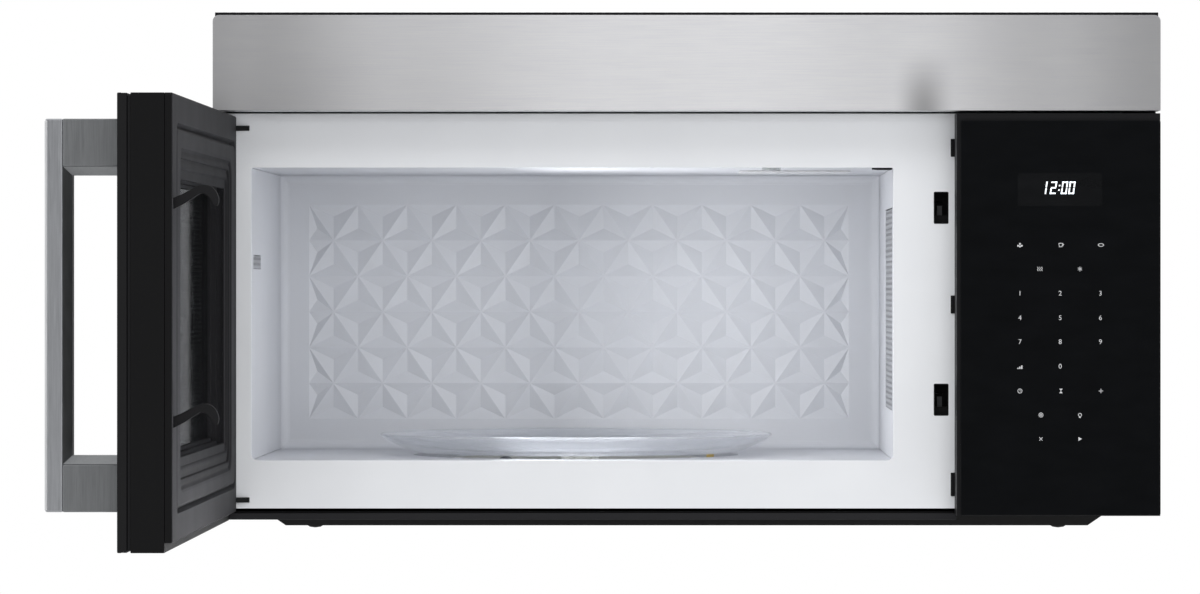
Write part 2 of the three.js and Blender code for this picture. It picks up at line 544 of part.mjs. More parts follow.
function turntable() {
  const floorUnder = trackTop - SHEET;
  const motorTop = floorUnder - FIT;
  const motor = cut(join(rod("z", 25, [0, 0], [motorTop - 17, motorTop], 32),
    block([-35, 35], [-6, 6], [motorTop - 2, motorTop])),
  rod("z", coupler.shaft + RUN, [0, 0], [motorTop - 8, motorTop + 1], 16));
  const shaft = rod("z", coupler.shaft, [0, 0], [motorTop - 7, trackTop + 2], 16);
  const plug = rod("z", coupler.radius, [0, 0], [trackTop + 1, couplerTop], 24);
  const lobes = range(3).map((i) =>
    rod("z", 5, [14, 0], [trackTop + 1, couplerTop], 12).rotate([0, 0, 120 * i]));
  const ringInner = roller.orbit - roller.width / 2 - 12;
  const ringOuter = ringInner + 8;
  const ring = turned([[ringInner, -2], [ringOuter, -2], [ringOuter, 3], [ringInner, 3], [ringInner, -2]]);
  const axleEnd = roller.orbit + roller.width / 2 + 2;
  const axles = range(roller.count).map((i) => rod("x", 2, [0, 0], [ringOuter - 2, axleEnd], 12)
    .rotate([0, 0, (360 / roller.count) * i]));
  const hoop = cut(join(ring, ...axles));
  const wheels = range(roller.count).map((i) => {
    const half = roller.width / 2;
    const wheel = cut(rod("x", roller.radius, [0, 0], [-half, half], 24),
      rod("x", 2 + FIT, [0, 0], [-half - 1, half + 1], 12));
    const angle = (2 * Math.PI * i) / roller.count;
    const mesh = placed(piece(`roller_${i + 1}`, wheel, greyPlastic),
      roller.orbit * Math.cos(angle), roller.orbit * Math.sin(angle), rollerMid);
    mesh.rotation.z = angle;
    return mesh;
  });
  const { radius, thick, top, foot: flat } = tray;
  const glass = turned([
    [0, trayBottom], [flat, trayBottom], [radius - 27, trayBottom + 1.2], [radius - 4, top - 5], [radius, top - 1.5],
    [radius - 1, top], [radius - 3.2, top - 0.4], [radius - 7, top - 3.4], [radius - 29, trayBottom + thick + 0.8],
    [flat, trayBottom + thick], [0, trayBottom + thick],
  ], 64);
  const group = new THREE.Group().add(
    piece("turntable_motor", motor, galvanised),
    piece("turntable_coupler", join(shaft, plug, ...lobes), greyPlastic),
    placed(piece("roller_ring", hoop, greyPlastic), 0, 0, rollerMid),
    ...wheels,
    piece("glass_tray", glass, clearGlass));
  return placed(group, cavityMidX, cavityMidY, 0);
}

// ---- Hinges, latch catches --------------------------------------------------------------------------

function hinges() {
  const pinY = Y_FRONT + hinge.depth;
  const right = hingeSlot.left + hinge.tongue;
  const tongue = outline([[hingeSlot.left + FIT, Y_FRAME + 16], [right, Y_FRAME + 16], [right, Y_FRAME - 1.5],
    [hinge.x + 4, pinY], [hinge.x - 4, pinY], [hingeSlot.left + FIT, pinY + 6]]);
  return hingeHeights.map(({ name, z, way }) => {
    const plateZ = [z - hinge.plate / 2, z + hinge.plate / 2];
    const plate = prism(tongue, "z", plateZ);
    const boss = rod("z", hinge.boss, [hinge.x, pinY], plateZ, 20);
    const pinZ = way > 0 ? [z, z + hinge.pinLength] : [z - hinge.pinLength, z];
    const pin = rod("z", hinge.pin, [hinge.x, pinY], pinZ, 16);
    const tab = block([hingeSlot.left + FIT, right], [Y_BEHIND_FRAME, Y_BEHIND_FRAME + 2],
      way > 0 ? [z, z + 26] : [z - 26, z]);
    return piece(name, join(plate, boss, pin, tab), galvanised);
  });
}

const catchTop = latch.rootBottom + 3;

// The channel behind the frame's latch slots: it carries the catches, the levers and the switches.
function interlock() {
  const channel = { left: latch.x - 16.5, right: latch.x + 10.5, rear: Y_FRAME + 38, bottom: 48, top: 284 };
  const shell = cut(
    block([channel.left, channel.right], [Y_BEHIND_FRAME, channel.rear], [channel.bottom, channel.top]),
    block([channel.left + 2, channel.right - 2], [Y_BEHIND_FRAME - 1, channel.rear - 2],
      [channel.bottom + 2, channel.top - 2]));
  const shelves = [0, latch.spacing].map((drop) => block([channel.left + 1, channel.right - 1],
    [Y_FRAME + 11, Y_FRAME + 17], [catchTop - 12 - drop, catchTop - drop]));
  const pivotY = Y_FRAME + 27;
  const pivotZ = catchTop - 22;
  const pivots = [0, latch.spacing].map((drop) => rod("x", 2, [pivotY, pivotZ - drop],
    [channel.left + 1, channel.right - 1], 12));
  const notches = [0, latch.spacing].map((drop) => block([latch.x - 3, latch.x + 3],
    [channel.rear - 4, channel.rear + 1], [pivotZ - 9 - drop, pivotZ + 34 - drop]));
  const bracket = piece("interlock_bracket", join(cut(shell, ...notches), ...shelves, ...pivots), blackPlastic);
  const moving = ["upper", "lower"].flatMap((name, i) => {
    const z = pivotZ - i * latch.spacing;
    const arm = block([latch.x - 2, latch.x + 2], [pivotY + 4, pivotY + 7], [z - 4, z + 30]);
    const hub = join(rod("x", 5, [pivotY, z], [latch.x - 2, latch.x + 2], 16),
      block([latch.x - 2, latch.x + 2], [pivotY, pivotY + 6], [z - 4, z + 4]));
    const lever = cut(join(arm, hub), rod("x", 2 + FIT, [pivotY, z], [latch.x - 9, latch.x + 9], 12));
    const body = block([latch.x - 5, latch.x + 5], [channel.rear + FIT, channel.rear + 16], [z + 2, z + 32]);
    return [piece(`interlock_lever_${name}`, lever, greyPlastic), piece(`door_switch_${name}`, body, blackPlastic)];
  });
  return [bracket, ...moving];
}

// ---- Door, drawn closed and then turned about its hinge ---------------------------------------------

const pinY = Y_FRONT + hinge.depth;

// Room inside the door for the fixed hinge plates and their pins.
function hingePockets() {
  return hingeHeights.flatMap(({ z, way }) => {
    const pocket = block([door.left - 1, hinge.x + 24], [Y_FRONT + hinge.depth - 24, Y_FRONT + 60],
      [z - hinge.plate / 2 - 1.5, z + hinge.plate / 2 + 1.5]);
    const pinZ = way > 0 ? [z, z + hinge.pinLength + 1] : [z - hinge.pinLength - 1, z];
    return [pocket, rod("z", hinge.pin + FIT, [hinge.x, pinY], pinZ, 16)];
  });
}

// Clears the turning corner next to the front frame.
function cornerTool() {
  const y = Y_FRONT + door.thickness;
  const triangle = outline([[door.left - 1, y - door.corner - 1], [door.left + door.corner + 1, y + 1],
    [door.left - 1, y + 1]]);
  return prism(triangle, "z", [door.bottom - 1, door.top + 1]);
}

const latchSlots = () => [0, latch.spacing].map((drop) => block(
  [latch.x - latch.thick / 2 - RUN, latch.x + latch.thick / 2 + RUN], [Y_FRONT + 25, Y_FRONT + 60],
  [latch.rootBottom - RUN - drop, latch.rootTop + 8.4 + latch.travel + RUN - drop]));

function doorShell() {
  const y = [Y_FRONT + door.slab + FIT, Y_FRONT + door.thickness - door.cover - FIT];
  const w = door.wall;
  const outer = block([door.left, door.right], y, [door.bottom, door.top]);
  const inner = block([door.left + w, door.right - w], [y[0] + w, 0], [door.bottom + w, door.top - w]);
  const window = block([door.windowLeft, door.windowRight], [-DEPTH, 0], [door.windowBottom, door.windowTop]);
  const pinBlocks = hingeHeights.map(({ z, way }) => block([hinge.x - 5, hinge.x + 7], [pinY - 8, y[1]],
    way > 0 ? [z + 3, z + 18] : [z - 18, z - 3]));
  const springSeat = block([latch.x - 5, latch.x + 5], [y[0], y[1]], [58, 62]);
  const guides = [120, 200].flatMap((z) => [-1, 1].map((side) => block(
    side > 0 ? [latch.x + 3.1, door.right - w + 1] : [latch.x - 5.1, latch.x - 3.1], [y[0], y[1]], [z, z + 6])));
  return piece("door_shell", cut(
    join(cut(outer, inner, window), ...pinBlocks, springSeat, ...guides),
    cornerTool(), ...hingePockets()), blackPlastic);
}

function doorGlass() {
  const i = door.slabInset;
  const glass = hopper(0, [[door.left + i, door.right - i], [door.bottom + 2.9, door.top - 1.5]],
    door.slab, [[door.left, door.right], [door.bottom, door.top]]);
  const upright = glass.rotate([90, 0, 0]);
  return piece("door_glass", upright.mirror([0, 1, 0]).translate([0, Y_FRONT, 0]), blackGlass);
}

function doorChoke() {
  const inset = door.wall + FIT;
  const right = latch.x - 9;
  const left = hinge.x + 8;
  const y = [Y_FRONT + 16, Y_FRONT + door.thickness - door.cover - FIT];
  const z = [door.bottom + inset + 4, door.top - inset];
  const ring = cut(
    block([left, right], y, z),
    block([left + SHEET, right - SHEET], [y[0] - 1, y[1] - 3], [z[0] + SHEET, z[1] - SHEET]),
    block([door.windowLeft - 14, door.windowRight + 14], [-DEPTH, 0],
      [door.windowBottom - 14, door.windowTop + 14]));
  const screen = block([door.windowLeft - 15, door.windowRight + 15], [y[1] - 3, y[1] - 2],
    [door.windowBottom - 15, door.windowTop + 15]);
  return piece("door_choke_frame", cut(join(ring, screen), ...hingePockets()), galvanised);
}

function doorCover() {
  const y = [Y_FRONT + door.thickness - door.cover, Y_FRONT + door.thickness];
  const plate = block([door.left, door.right], y, [door.coverBottom, door.top]);
  const opening = block([door.windowLeft, door.windowRight], [-DEPTH, 0], [door.windowBottom, door.windowTop]);
  const cover = piece("door_inner_cover", cut(plate, opening, cornerTool(), ...hingePockets(), ...latchSlots()),
    blackPlastic);
  const pane = block([door.windowLeft + FIT, door.windowRight - FIT], [y[0], y[0] + 3],
    [door.windowBottom + FIT, door.windowTop - FIT]);
  return [cover, piece("door_inner_window", pane, tintedGlass)];
}

function doorHandle() {
  const { reach, bar, arm, bevel, bottom, top, fromEdge, width } = handle;
  const x = [door.right - fromEdge - width, door.right - fromEdge];
  const body = block(x, [Y_FRONT - reach, Y_FRONT - FIT], [bottom, top]);
  const hole = (grow) => [[Y_FRONT - reach + bar + bevel - grow, Y_FRONT + 20], [bottom + arm + bevel - grow,
    top - arm - bevel + grow]];
  const straight = block([x[0] - 1, x[1] + 1], ...hole(0));
  const flare = (x0, grow0, x1, grow1) => {
    const [ya, za] = hole(grow0);
    const [yb, zb] = hole(grow1);
    return hopper(x0, [za.map((z) => -z).reverse(), ya], x1, [zb.map((z) => -z).reverse(), yb]).rotate([0, 90, 0]);
  };
  return piece("door_handle", cut(body, straight, flare(x[1] - bevel, 0, x[1] + 1, bevel + 1),
    flare(x[0] - 1, bevel + 1, x[0] + bevel, 0)), stainless);
}

// One bar in the door's free edge carries both hooks; it lifts as they ride over the catches.
function latchBar() {
  const x = [latch.x - latch.thick / 2, latch.x + latch.thick / 2];
  const inner = Y_FRONT + door.thickness;
  const hook = (drop) => {
    const z = (value) => value - drop;
    const tip = inner + latch.reach;
    return prism(outline([
      [inner - 12, z(latch.rootBottom)], [inner + 7, z(latch.rootBottom)], [inner + 11, z(latch.rootBottom + 4)],
      [inner + 17, z(latch.rootBottom + 7.5)], [inner + 22, z(latch.rootBottom + 6.5)],
      [inner + 25, z(latch.rootBottom + 3.6)], [tip - 2, z(latch.rootBottom + 4.6)], [tip, z(latch.rootBottom + 8)],
      [tip - 3, z(latch.rootTop + 3.5)], [tip - 9, z(latch.rootTop + 7.2)], [inner + 17, z(latch.rootTop + 8.1)],
      [inner + 9, z(latch.rootTop + 5)], [inner + 4, z(latch.rootTop)], [inner - 12, z(latch.rootTop)],
    ]), "x", x);
  };
  const rear = Y_FRONT + door.thickness - door.cover - RUN;
  const bar = block(x, [rear - 9, rear], [latch.rootBottom - latch.spacing - 2, latch.rootTop + 2]);
  const springTop = latch.rootBottom - latch.spacing - 2 - FIT;
  const spring = rod("z", 3, [latch.x, rear - 4.5], [62 + FIT, springTop], 12);
  return [piece("latch_bar", join(bar, hook(0), hook(latch.spacing)), blackPlastic),
    piece("latch_spring", spring, galvanised)];
}

function doorAssembly() {
  const closed = new THREE.Group().add(
    doorGlass(), doorShell(), doorChoke(), ...doorCover(), doorHandle(), ...latchBar());
  closed.position.set(-hinge.x, -pinY, 0);
  const swung = new THREE.Group().add(closed);
  swung.position.set(hinge.x, pinY, 0);
  swung.rotation.z = DOOR_OPEN;
  return swung;
}

// ---- The whole oven ---------------------------------------------------------------------------------

const group = new THREE.Group();
group.add(
  outerWrap(), ...rearPanel(), frontFrame(), lowerFrontRail(), basePan(), bayFloor(),
  ...cavityPanels(), ...waveguide(), magnetronTube(), coolingFan(), ...highVoltageParts(),
  ...controlPanel(), ventGrille(), louverFrame(), charcoalFilter(), ...blowerSet(),
  greaseFilter(-1, "grease_filter_left"), greaseFilter(1, "grease_filter_right"), ...cooktopLamp(),
  turntable(), ...hinges(), ...interlock(), doorAssembly());
group.position.z = -HEIGHT / 2;

const oven = new THREE.Group().add(group);
export default oven;
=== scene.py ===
"""Over-the-range microwave oven: the looks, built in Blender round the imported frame.

Sizes are in millimetres and are turned to metres where meshes are made. +X is to the right seen from
the front, +Y runs into the wall and +Z is up. The door stands open at a right angle at rest.
"""

from __future__ import annotations

import logging
import math
from collections.abc import Iterable, Sequence
from dataclasses import dataclass, field
from enum import Enum

import bmesh
import bpy
from mathutils import Matrix, Vector


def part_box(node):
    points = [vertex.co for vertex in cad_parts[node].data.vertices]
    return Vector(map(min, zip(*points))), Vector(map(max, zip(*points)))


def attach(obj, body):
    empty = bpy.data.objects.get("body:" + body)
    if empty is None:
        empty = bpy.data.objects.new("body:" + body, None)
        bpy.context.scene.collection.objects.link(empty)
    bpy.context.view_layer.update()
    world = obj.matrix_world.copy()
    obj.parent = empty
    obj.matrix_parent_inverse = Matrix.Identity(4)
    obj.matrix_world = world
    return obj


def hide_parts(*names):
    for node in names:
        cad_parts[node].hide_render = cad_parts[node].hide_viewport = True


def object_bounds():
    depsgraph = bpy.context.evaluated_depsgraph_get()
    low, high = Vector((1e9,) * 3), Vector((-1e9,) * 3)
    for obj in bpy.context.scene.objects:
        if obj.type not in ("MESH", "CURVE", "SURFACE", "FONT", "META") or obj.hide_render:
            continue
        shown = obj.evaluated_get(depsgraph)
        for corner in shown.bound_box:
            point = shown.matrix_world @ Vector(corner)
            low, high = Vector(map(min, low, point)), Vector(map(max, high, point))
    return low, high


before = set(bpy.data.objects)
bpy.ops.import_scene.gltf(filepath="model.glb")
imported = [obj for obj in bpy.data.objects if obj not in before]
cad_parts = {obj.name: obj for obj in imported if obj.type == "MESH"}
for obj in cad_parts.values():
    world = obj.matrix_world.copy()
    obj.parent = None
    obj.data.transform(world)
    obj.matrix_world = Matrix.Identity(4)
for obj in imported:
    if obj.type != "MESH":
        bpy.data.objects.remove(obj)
CAD_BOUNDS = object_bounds()

log = logging.getLogger("oven")

MM = 0.001
# Past this angle, the edge of a face that lies square to an axis is drawn sharp.
FLAT_EDGE = math.radians(8.0)
# Edges sharper than this many degrees stay crisp, where a piece says nothing else.
CREASE = 32.0
# The least share that a level face's normal has along its axis.
LEVEL = 0.99995
# How far staggered rows of holes lie apart, as a share of the pitch along a row.
ROW_RISE = 0.866

Point = tuple[float, float]
Triple = tuple[float, float, float]
Outline = list[Point]
Colour = tuple[float, float, float, float]


# ---- Colours and nodes ----


def linear(hex_code: str) -> Colour:
    """Turns an sRGB hex colour into linear light.

    Args:
        hex_code: six hex digits, such as "c9cacd".

    Returns:
        Red, green, blue and alpha, as Blender's sockets take them.
    """
    channels = [int(hex_code[i : i + 2], 16) / 255 for i in (0, 2, 4)]
    red, green, blue = (c / 12.92 if c <= 0.04045 else ((c + 0.055) / 1.055) ** 2.4 for c in channels)
    return (red, green, blue, 1.0)


def add_node(tree: bpy.types.NodeTree, kind: str, settings: dict | None = None, links: dict | None = None):
    """Adds a shader node with its settings and links.

    Args:
        tree: the material's node tree.
        kind: the node's type without the ShaderNode prefix.
        settings: values by property name or by input name or number.
        links: output sockets by input name or number.

    Returns:
        The new node.
    """
    node = tree.nodes.new("ShaderNode" + kind)
    for name, value in (settings or {}).items():
        if isinstance(name, str) and hasattr(node, name):
            setattr(node, name, value)
        else:
            node.inputs[name].default_value = value
    for name, socket in (links or {}).items():
        tree.links.new(socket, node.inputs[name])
    return node


def maths(tree: bpy.types.NodeTree, operation: str, *values: float | bpy.types.NodeSocket):
    """The socket that a math node gives for some numbers and sockets."""
    settings = {i: value for i, value in enumerate(values) if isinstance(value, float)}
    links = {i: value for i, value in enumerate(values) if not isinstance(value, float)}
    return add_node(tree, "Math", {"operation": operation, **settings}, links).outputs[0]


@dataclass
class Surface:
    """The nodes that a finish's pattern hangs on."""

    tree: bpy.types.NodeTree
    shader: bpy.types.ShaderNode
    place: bpy.types.NodeSocket

    def stretched(self, size_mm: Triple) -> bpy.types.NodeSocket:
        """Object coordinates divided by a pattern's size in millimetres on each axis."""
        scale = tuple(1 / (s * MM) for s in size_mm)
        return add_node(self.tree, "Mapping", {"Scale": scale}, {"Vector": self.place}).outputs[0]

    def noise(self, size_mm: Triple, detail: float = 3.0, rough: float = 0.5):
        """A noise whose grains have that size, as a socket from 0 to 1."""
        settings = {"Scale": 1.0, "Detail": detail, "Roughness": rough}
        return add_node(self.tree, "TexNoise", settings, {"Vector": self.stretched(size_mm)}).outputs[0]

    def ramp(self, value: bpy.types.NodeSocket, low: float, high: float, span: Point = (0.3, 0.7)):
        """Maps a 0 to 1 socket onto low..high over the part of its range that span names."""
        settings = {1: span[0], 2: span[1], 3: low, 4: high}
        return add_node(self.tree, "MapRange", settings, {0: value}).outputs[0]

    def tint(self, value: bpy.types.NodeSocket, dark: str, light: str) -> None:
        """Colours the surface between two hex colours by a 0 to 1 socket."""
        mix = add_node(self.tree, "Mix", {"data_type": "RGBA"}, {0: value})
        mix.inputs[6].default_value = linear(dark)
        mix.inputs[7].default_value = linear(light)
        self.tree.links.new(mix.outputs[2], self.shader.inputs["Base Color"])

    def bump(self, height: bpy.types.NodeSocket, depth_mm: float, strength: float = 1.0) -> None:
        """Raises the surface by a socket, depth_mm high at most."""
        settings = {"Strength": strength, "Distance": depth_mm * MM}
        node = add_node(self.tree, "Bump", settings, {"Height": height})
        self.tree.links.new(node.outputs[0], self.shader.inputs["Normal"])

    def rough(self, value: bpy.types.NodeSocket, low: float, high: float) -> None:
        """Varies the roughness between two values by a 0 to 1 socket."""
        self.tree.links.new(self.ramp(value, low, high), self.shader.inputs["Roughness"])


# ---- Finishes ----


@dataclass(frozen=True)
class Finish:
    """A surface finish: its shader's plain values, and a pattern that subclasses add."""

    name: str
    colour: str
    roughness: float
    metallic: float = 0.0
    sockets: tuple[tuple[str, float], ...] = ()

    def material(self) -> bpy.types.Material:
        """The finish's Blender material, made the first time it is asked for."""
        made = bpy.data.materials.get(self.name)
        if made:
            return made
        made = bpy.data.materials.new(self.name)
        made.use_nodes = True
        made.diffuse_color = linear(self.colour)
        tree = made.node_tree
        shader = tree.nodes["Principled BSDF"]
        shader.inputs["Base Color"].default_value = linear(self.colour)
        shader.inputs["Roughness"].default_value = self.roughness
        shader.inputs["Metallic"].default_value = self.metallic
        for socket, value in self.sockets:
            shader.inputs[socket].default_value = value
        place = add_node(tree, "TexCoord").outputs["Object"]
        self.pattern(Surface(tree, shader, place))
        return made

    def pattern(self, surface: Surface) -> None:
        """Adds the finish's pattern to its surface; the plain finish has none."""


@dataclass(frozen=True)
class BrushedSteel(Finish):
    """Stainless sheet brushed along one axis: long fine hairlines that stretch the highlights."""

    metallic: float = 1.0
    grain_mm: Triple = (38.0, 0.55, 0.4)
    spread: Point = (0.28, 0.4)
    dark: str = "b9babd"
    light: str = "d3d4d7"

    def pattern(self, surface: Surface) -> None:
        """Hairlines in colour, roughness and height, over a slow cloudiness of the whole sheet."""
        hairs = surface.noise(self.grain_mm, detail=4.0, rough=0.75)
        surface.tint(surface.ramp(hairs, 0.0, 1.0), self.dark, self.light)
        surface.rough(hairs, *self.spread)
        surface.bump(hairs, 0.02, 0.35)


@dataclass(frozen=True)
class ReflectionPaintedSteel(BrushedSteel):
    """Brushed sheet whose colour drifts between dull and bright across the piece: a painted reflection, dull
    at both ends along X and bright in the middle.

    The stops are places along X with a level each. The dark patch is a painted dark reflection: its middle
    and half width along X, the heights between which it grows, and its depth.
    """

    reflection_stops: tuple[Point, ...] = ((-380.0, 1.0), (380.0, 1.0))
    painted_dark_reflection: tuple[Point, Point, float] = ((190.0, 24.0), (176.0, 122.0), 0.0)

    def pattern(self, surface: Surface) -> None:
        """The brushing of plain sheet, times a level of painted reflection that runs through the stops along
        X.
        """
        super().pattern(surface)
        tree, shader = surface.tree, surface.shader
        colour = shader.inputs["Base Color"].links[0].from_socket
        place = add_node(tree, "SeparateXYZ", {}, {0: surface.place}).outputs
        low, high = self.reflection_stops[0][0], self.reflection_stops[-1][0]
        along = add_node(tree, "MapRange", {1: low * MM, 2: high * MM}, {0: place["X"]}).outputs[0]
        ramp = add_node(tree, "ValToRGB", {}, {0: along})
        ramp.color_ramp.interpolation = "EASE"
        while len(ramp.color_ramp.elements) < len(self.reflection_stops):
            ramp.color_ramp.elements.new(0.5)
        for element, (x, level) in zip(ramp.color_ramp.elements, self.reflection_stops):
            element.position = (x - low) / (high - low)
            element.color = (level, level, level, 1.0)
        # The dark patch is a painted dark reflection: a duller area that grows downwards between two heights.
        (middle, half), (top, bottom), depth = self.painted_dark_reflection
        away = maths(tree, "ABSOLUTE", maths(tree, "SUBTRACT", place["X"], middle * MM))
        soft = {"interpolation_type": "SMOOTHSTEP"}
        near = add_node(tree, "MapRange", {**soft, 2: half * MM, 3: depth, 4: 0.0}, {0: away}).outputs[0]
        lower = add_node(tree, "MapRange", {**soft, 1: top * MM, 2: bottom * MM}, {0: place["Z"]}).outputs[0]
        keep = maths(tree, "SUBTRACT", 1.0, maths(tree, "MULTIPLY", near, lower))
        for factor in (ramp.outputs[0], keep):
            colour = add_node(tree, "Mix", {"data_type": "RGBA", "blend_type": "MULTIPLY", 0: 1.0},
                              {6: colour, 7: factor}).outputs[2]
        tree.links.new(colour, shader.inputs["Base Color"])


@dataclass(frozen=True)
class GalvanisedSheet(Finish):
    """Hot-dip galvanised steel: a patchwork of dull zinc crystals."""

    def pattern(self, surface: Surface) -> None:
        """Crystal patches about 9 mm across, each a little lighter or darker."""
        place = surface.stretched((9.0, 9.0, 9.0))
        cells = add_node(surface.tree, "TexVoronoi", {"Scale": 1.0}, {"Vector": place})
        grey = add_node(surface.tree, "SeparateColor", {}, {0: cells.outputs["Color"]}).outputs[0]
        surface.tint(grey, "8f9396", "b2b6b8")
        surface.rough(grey, 0.34, 0.5)


@dataclass(frozen=True)
class BakedEnamel(Finish):
    """Sprayed and baked enamel on steel: smooth, with a faint orange peel that softens reflections."""

    peel_mm: float = 1.6
    dark: str = "e0e2e6"
    light: str = "eceef1"

    def pattern(self, surface: Surface) -> None:
        """Orange peel in the height, and a slow drift of tone over a hand's width."""
        peel = surface.noise((self.peel_mm,) * 3, detail=1.0)
        drift = surface.noise((90.0, 90.0, 90.0), detail=2.0)
        surface.tint(drift, self.dark, self.light)
        surface.rough(drift, self.roughness - 0.03, self.roughness + 0.05)
        surface.bump(peel, 0.02, 0.25)


def specular(level: float) -> tuple[tuple[str, float]]:
    """How much light a finish sends straight back, where the shader's usual is 0.5."""
    return (("Specular IOR Level", level),)


MATT = specular(0.12)


@dataclass(frozen=True)
class GrainedPlastic(Finish):
    """Injection-moulded ABS with a spark-eroded texture: an even fine grain that greys its blacks."""

    sockets: tuple[tuple[str, float], ...] = MATT
    grain_mm: float = 0.9
    dark: str = "121213"
    light: str = "1c1c1e"
    depth_mm: float = 0.03

    def pattern(self, surface: Surface) -> None:
        """Moulded grain, drawn coarse enough to show in a render of the whole oven."""
        grain = surface.noise((self.grain_mm,) * 3, detail=2.0, rough=0.6)
        cloud = surface.noise((60.0, 60.0, 60.0), detail=2.0)
        surface.tint(cloud, self.dark, self.light)
        surface.rough(cloud, self.roughness - 0.02, self.roughness + 0.03)
        surface.bump(grain, self.depth_mm, 0.4)


@dataclass(frozen=True)
class PrintedGlass(Finish):
    """Float glass printed black on its back: a deep gloss that only smudges break."""

    def pattern(self, surface: Surface) -> None:
        """Wiping marks a few centimetres long that lift the roughness a little."""
        smear = surface.noise((34.0, 34.0, 12.0), detail=3.0)
        surface.tint(smear, "0c0d0e", "111214")
        surface.rough(smear, self.roughness, self.roughness + 0.05)


@dataclass(frozen=True)
class PressedGlass(Finish):
    """Pressed soda-lime glass: clear and slightly green in its thick rim, with a soft waviness."""

    wave_mm: float = 14.0

    def pattern(self, surface: Surface) -> None:
        """Flow waves from the pressing, which bend what is seen through the glass."""
        wave = surface.noise((self.wave_mm,) * 3, detail=1.0)
        surface.bump(wave, 0.25, 0.4)


@dataclass(frozen=True)
class CoilVarnish(Finish):
    """Enamelled copper wire on a core: fine parallel turns under clear varnish."""

    def pattern(self, surface: Surface) -> None:
        """Turns 1.2 mm apart, drawn as a wave in the height, and in the colour as painted highlights on the
        crests and painted shade between the turns.
        """
        settings = {"Scale": 1.0, "wave_type": "BANDS", "bands_direction": "Z"}
        place = surface.stretched((8.0, 8.0, 7.5))
        turns = add_node(surface.tree, "TexWave", settings, {"Vector": place}).outputs[1]
        # Painted light: the colour runs from dark in the grooves between turns to light on the crests.
        surface.tint(turns, "5c2f17", "b8743f")
        surface.bump(turns, 0.3, 0.6)


@dataclass(frozen=True)
class Granules(Finish):
    """Loose grains pressed into a pad, such as charcoal or flaky mica."""

    grain_mm: float = 2.4
    dark: str = "101010"
    light: str = "2c2c2c"

    def pattern(self, surface: Surface) -> None:
        """Rounded grains of one size, painted light at their middles and dark at their edges: a painted
        highlight on each grain and painted shade between the grains.
        """
        place = surface.stretched((self.grain_mm,) * 3)
        cells = add_node(surface.tree, "TexVoronoi", {"Scale": 1.0}, {"Vector": place})
        # Painted light: light at each grain's middle, dark where the grains meet.
        surface.tint(cells.outputs["Distance"], self.light, self.dark)
        surface.bump(cells.outputs["Distance"], 0.5, 0.6)


@dataclass(frozen=True)
class LitSegments(Finish):
    """A lit display segment behind smoked glass: an even white glow."""

    def pattern(self, surface: Surface) -> None:
        """The glow comes from emission, so that it shows in the dark glass."""
        surface.shader.inputs["Emission Color"].default_value = linear(self.colour)
        surface.shader.inputs["Emission Strength"].default_value = 0.75


UPRIGHT = (0.5, 0.5, 30.0)

# Stainless steel, brushed along the length of each piece. The grille's levels along X are painted reflection,
# and its dark patch near X 190 mm is a painted dark reflection.
STAINLESS = ReflectionPaintedSteel(
    "brushed stainless steel", "e3e3e7", 0.46, spread=(0.42, 0.54), dark="f5f5fa", light="ffffff",
    reflection_stops=((-380.0, 0.49), (-345.0, 0.53), (-230.0, 0.8), (-60.0, 0.98), (40.0, 0.99), (170.0, 0.87),
           (290.0, 0.62), (380.0, 0.46)),
    painted_dark_reflection=((190.0, 26.0), (176.0, 122.0), 0.47))
STAINLESS_EDGE = BrushedSteel("folded stainless edge", "dfe0e2", 0.26, grain_mm=(0.6, 0.6, 40.0),
                              dark="d8d9db", light="e6e7e9")
# The handle is one steel in three tones, lit and shaded copies: the bar the lightest, the arms a darker
# painted shade, and the bevel a dark base colour with its grain tones raised, painted light against its own
# shadow.
HANDLE_BAR = BrushedSteel("handle bar steel", "8f9193", 0.36, grain_mm=UPRIGHT, spread=(0.32, 0.44),
                          dark="a2a4a8", light="b6b8bc")
HANDLE_ARM_PAINTED_SHADE = BrushedSteel("handle arm steel", "6d6f71", 0.4, grain_mm=UPRIGHT, spread=(0.36, 0.48),
                          dark="7c7e80", light="8c8e90")
HANDLE_BEVEL_LIGHT_AND_SHADE = BrushedSteel("handle bevel steel", "3d3f40", 0.45, grain_mm=(2.0, 2.0, 20.0),
                            spread=(0.4, 0.5), dark="a0a2a4", light="acaeb0")

# Other metals.
ZINC = GalvanisedSheet("galvanised steel", "a4a8ab", 0.42, 0.85)
BLACK_SCREW = BrushedSteel("blackened screw steel", "2b2c2e", 0.45, grain_mm=(2.0, 2.0, 2.0),
                           spread=(0.4, 0.5), dark="27282a", light="303133")
SPRING_STEEL = BrushedSteel("drawn spring steel", "8d8f92", 0.3, grain_mm=(2.0, 2.0, 0.6), spread=(0.25, 0.4),
                            dark="77797c", light="9a9c9f")
ALUMINIUM = BrushedSteel("rolled aluminium", "bfc2c5", 0.38, grain_mm=(4.0, 4.0, 4.0), spread=(0.3, 0.48),
                         dark="aaadb0", light="c6c9cc")
FILTER_FOIL = BrushedSteel("expanded aluminium foil", "c0c2c4", 0.3, grain_mm=(6.0, 6.0, 6.0),
                           spread=(0.25, 0.42), dark="a0a3a6", light="cfd1d3")
COIL = CoilVarnish("varnished copper winding", "a0602f", 0.35, 0.6)

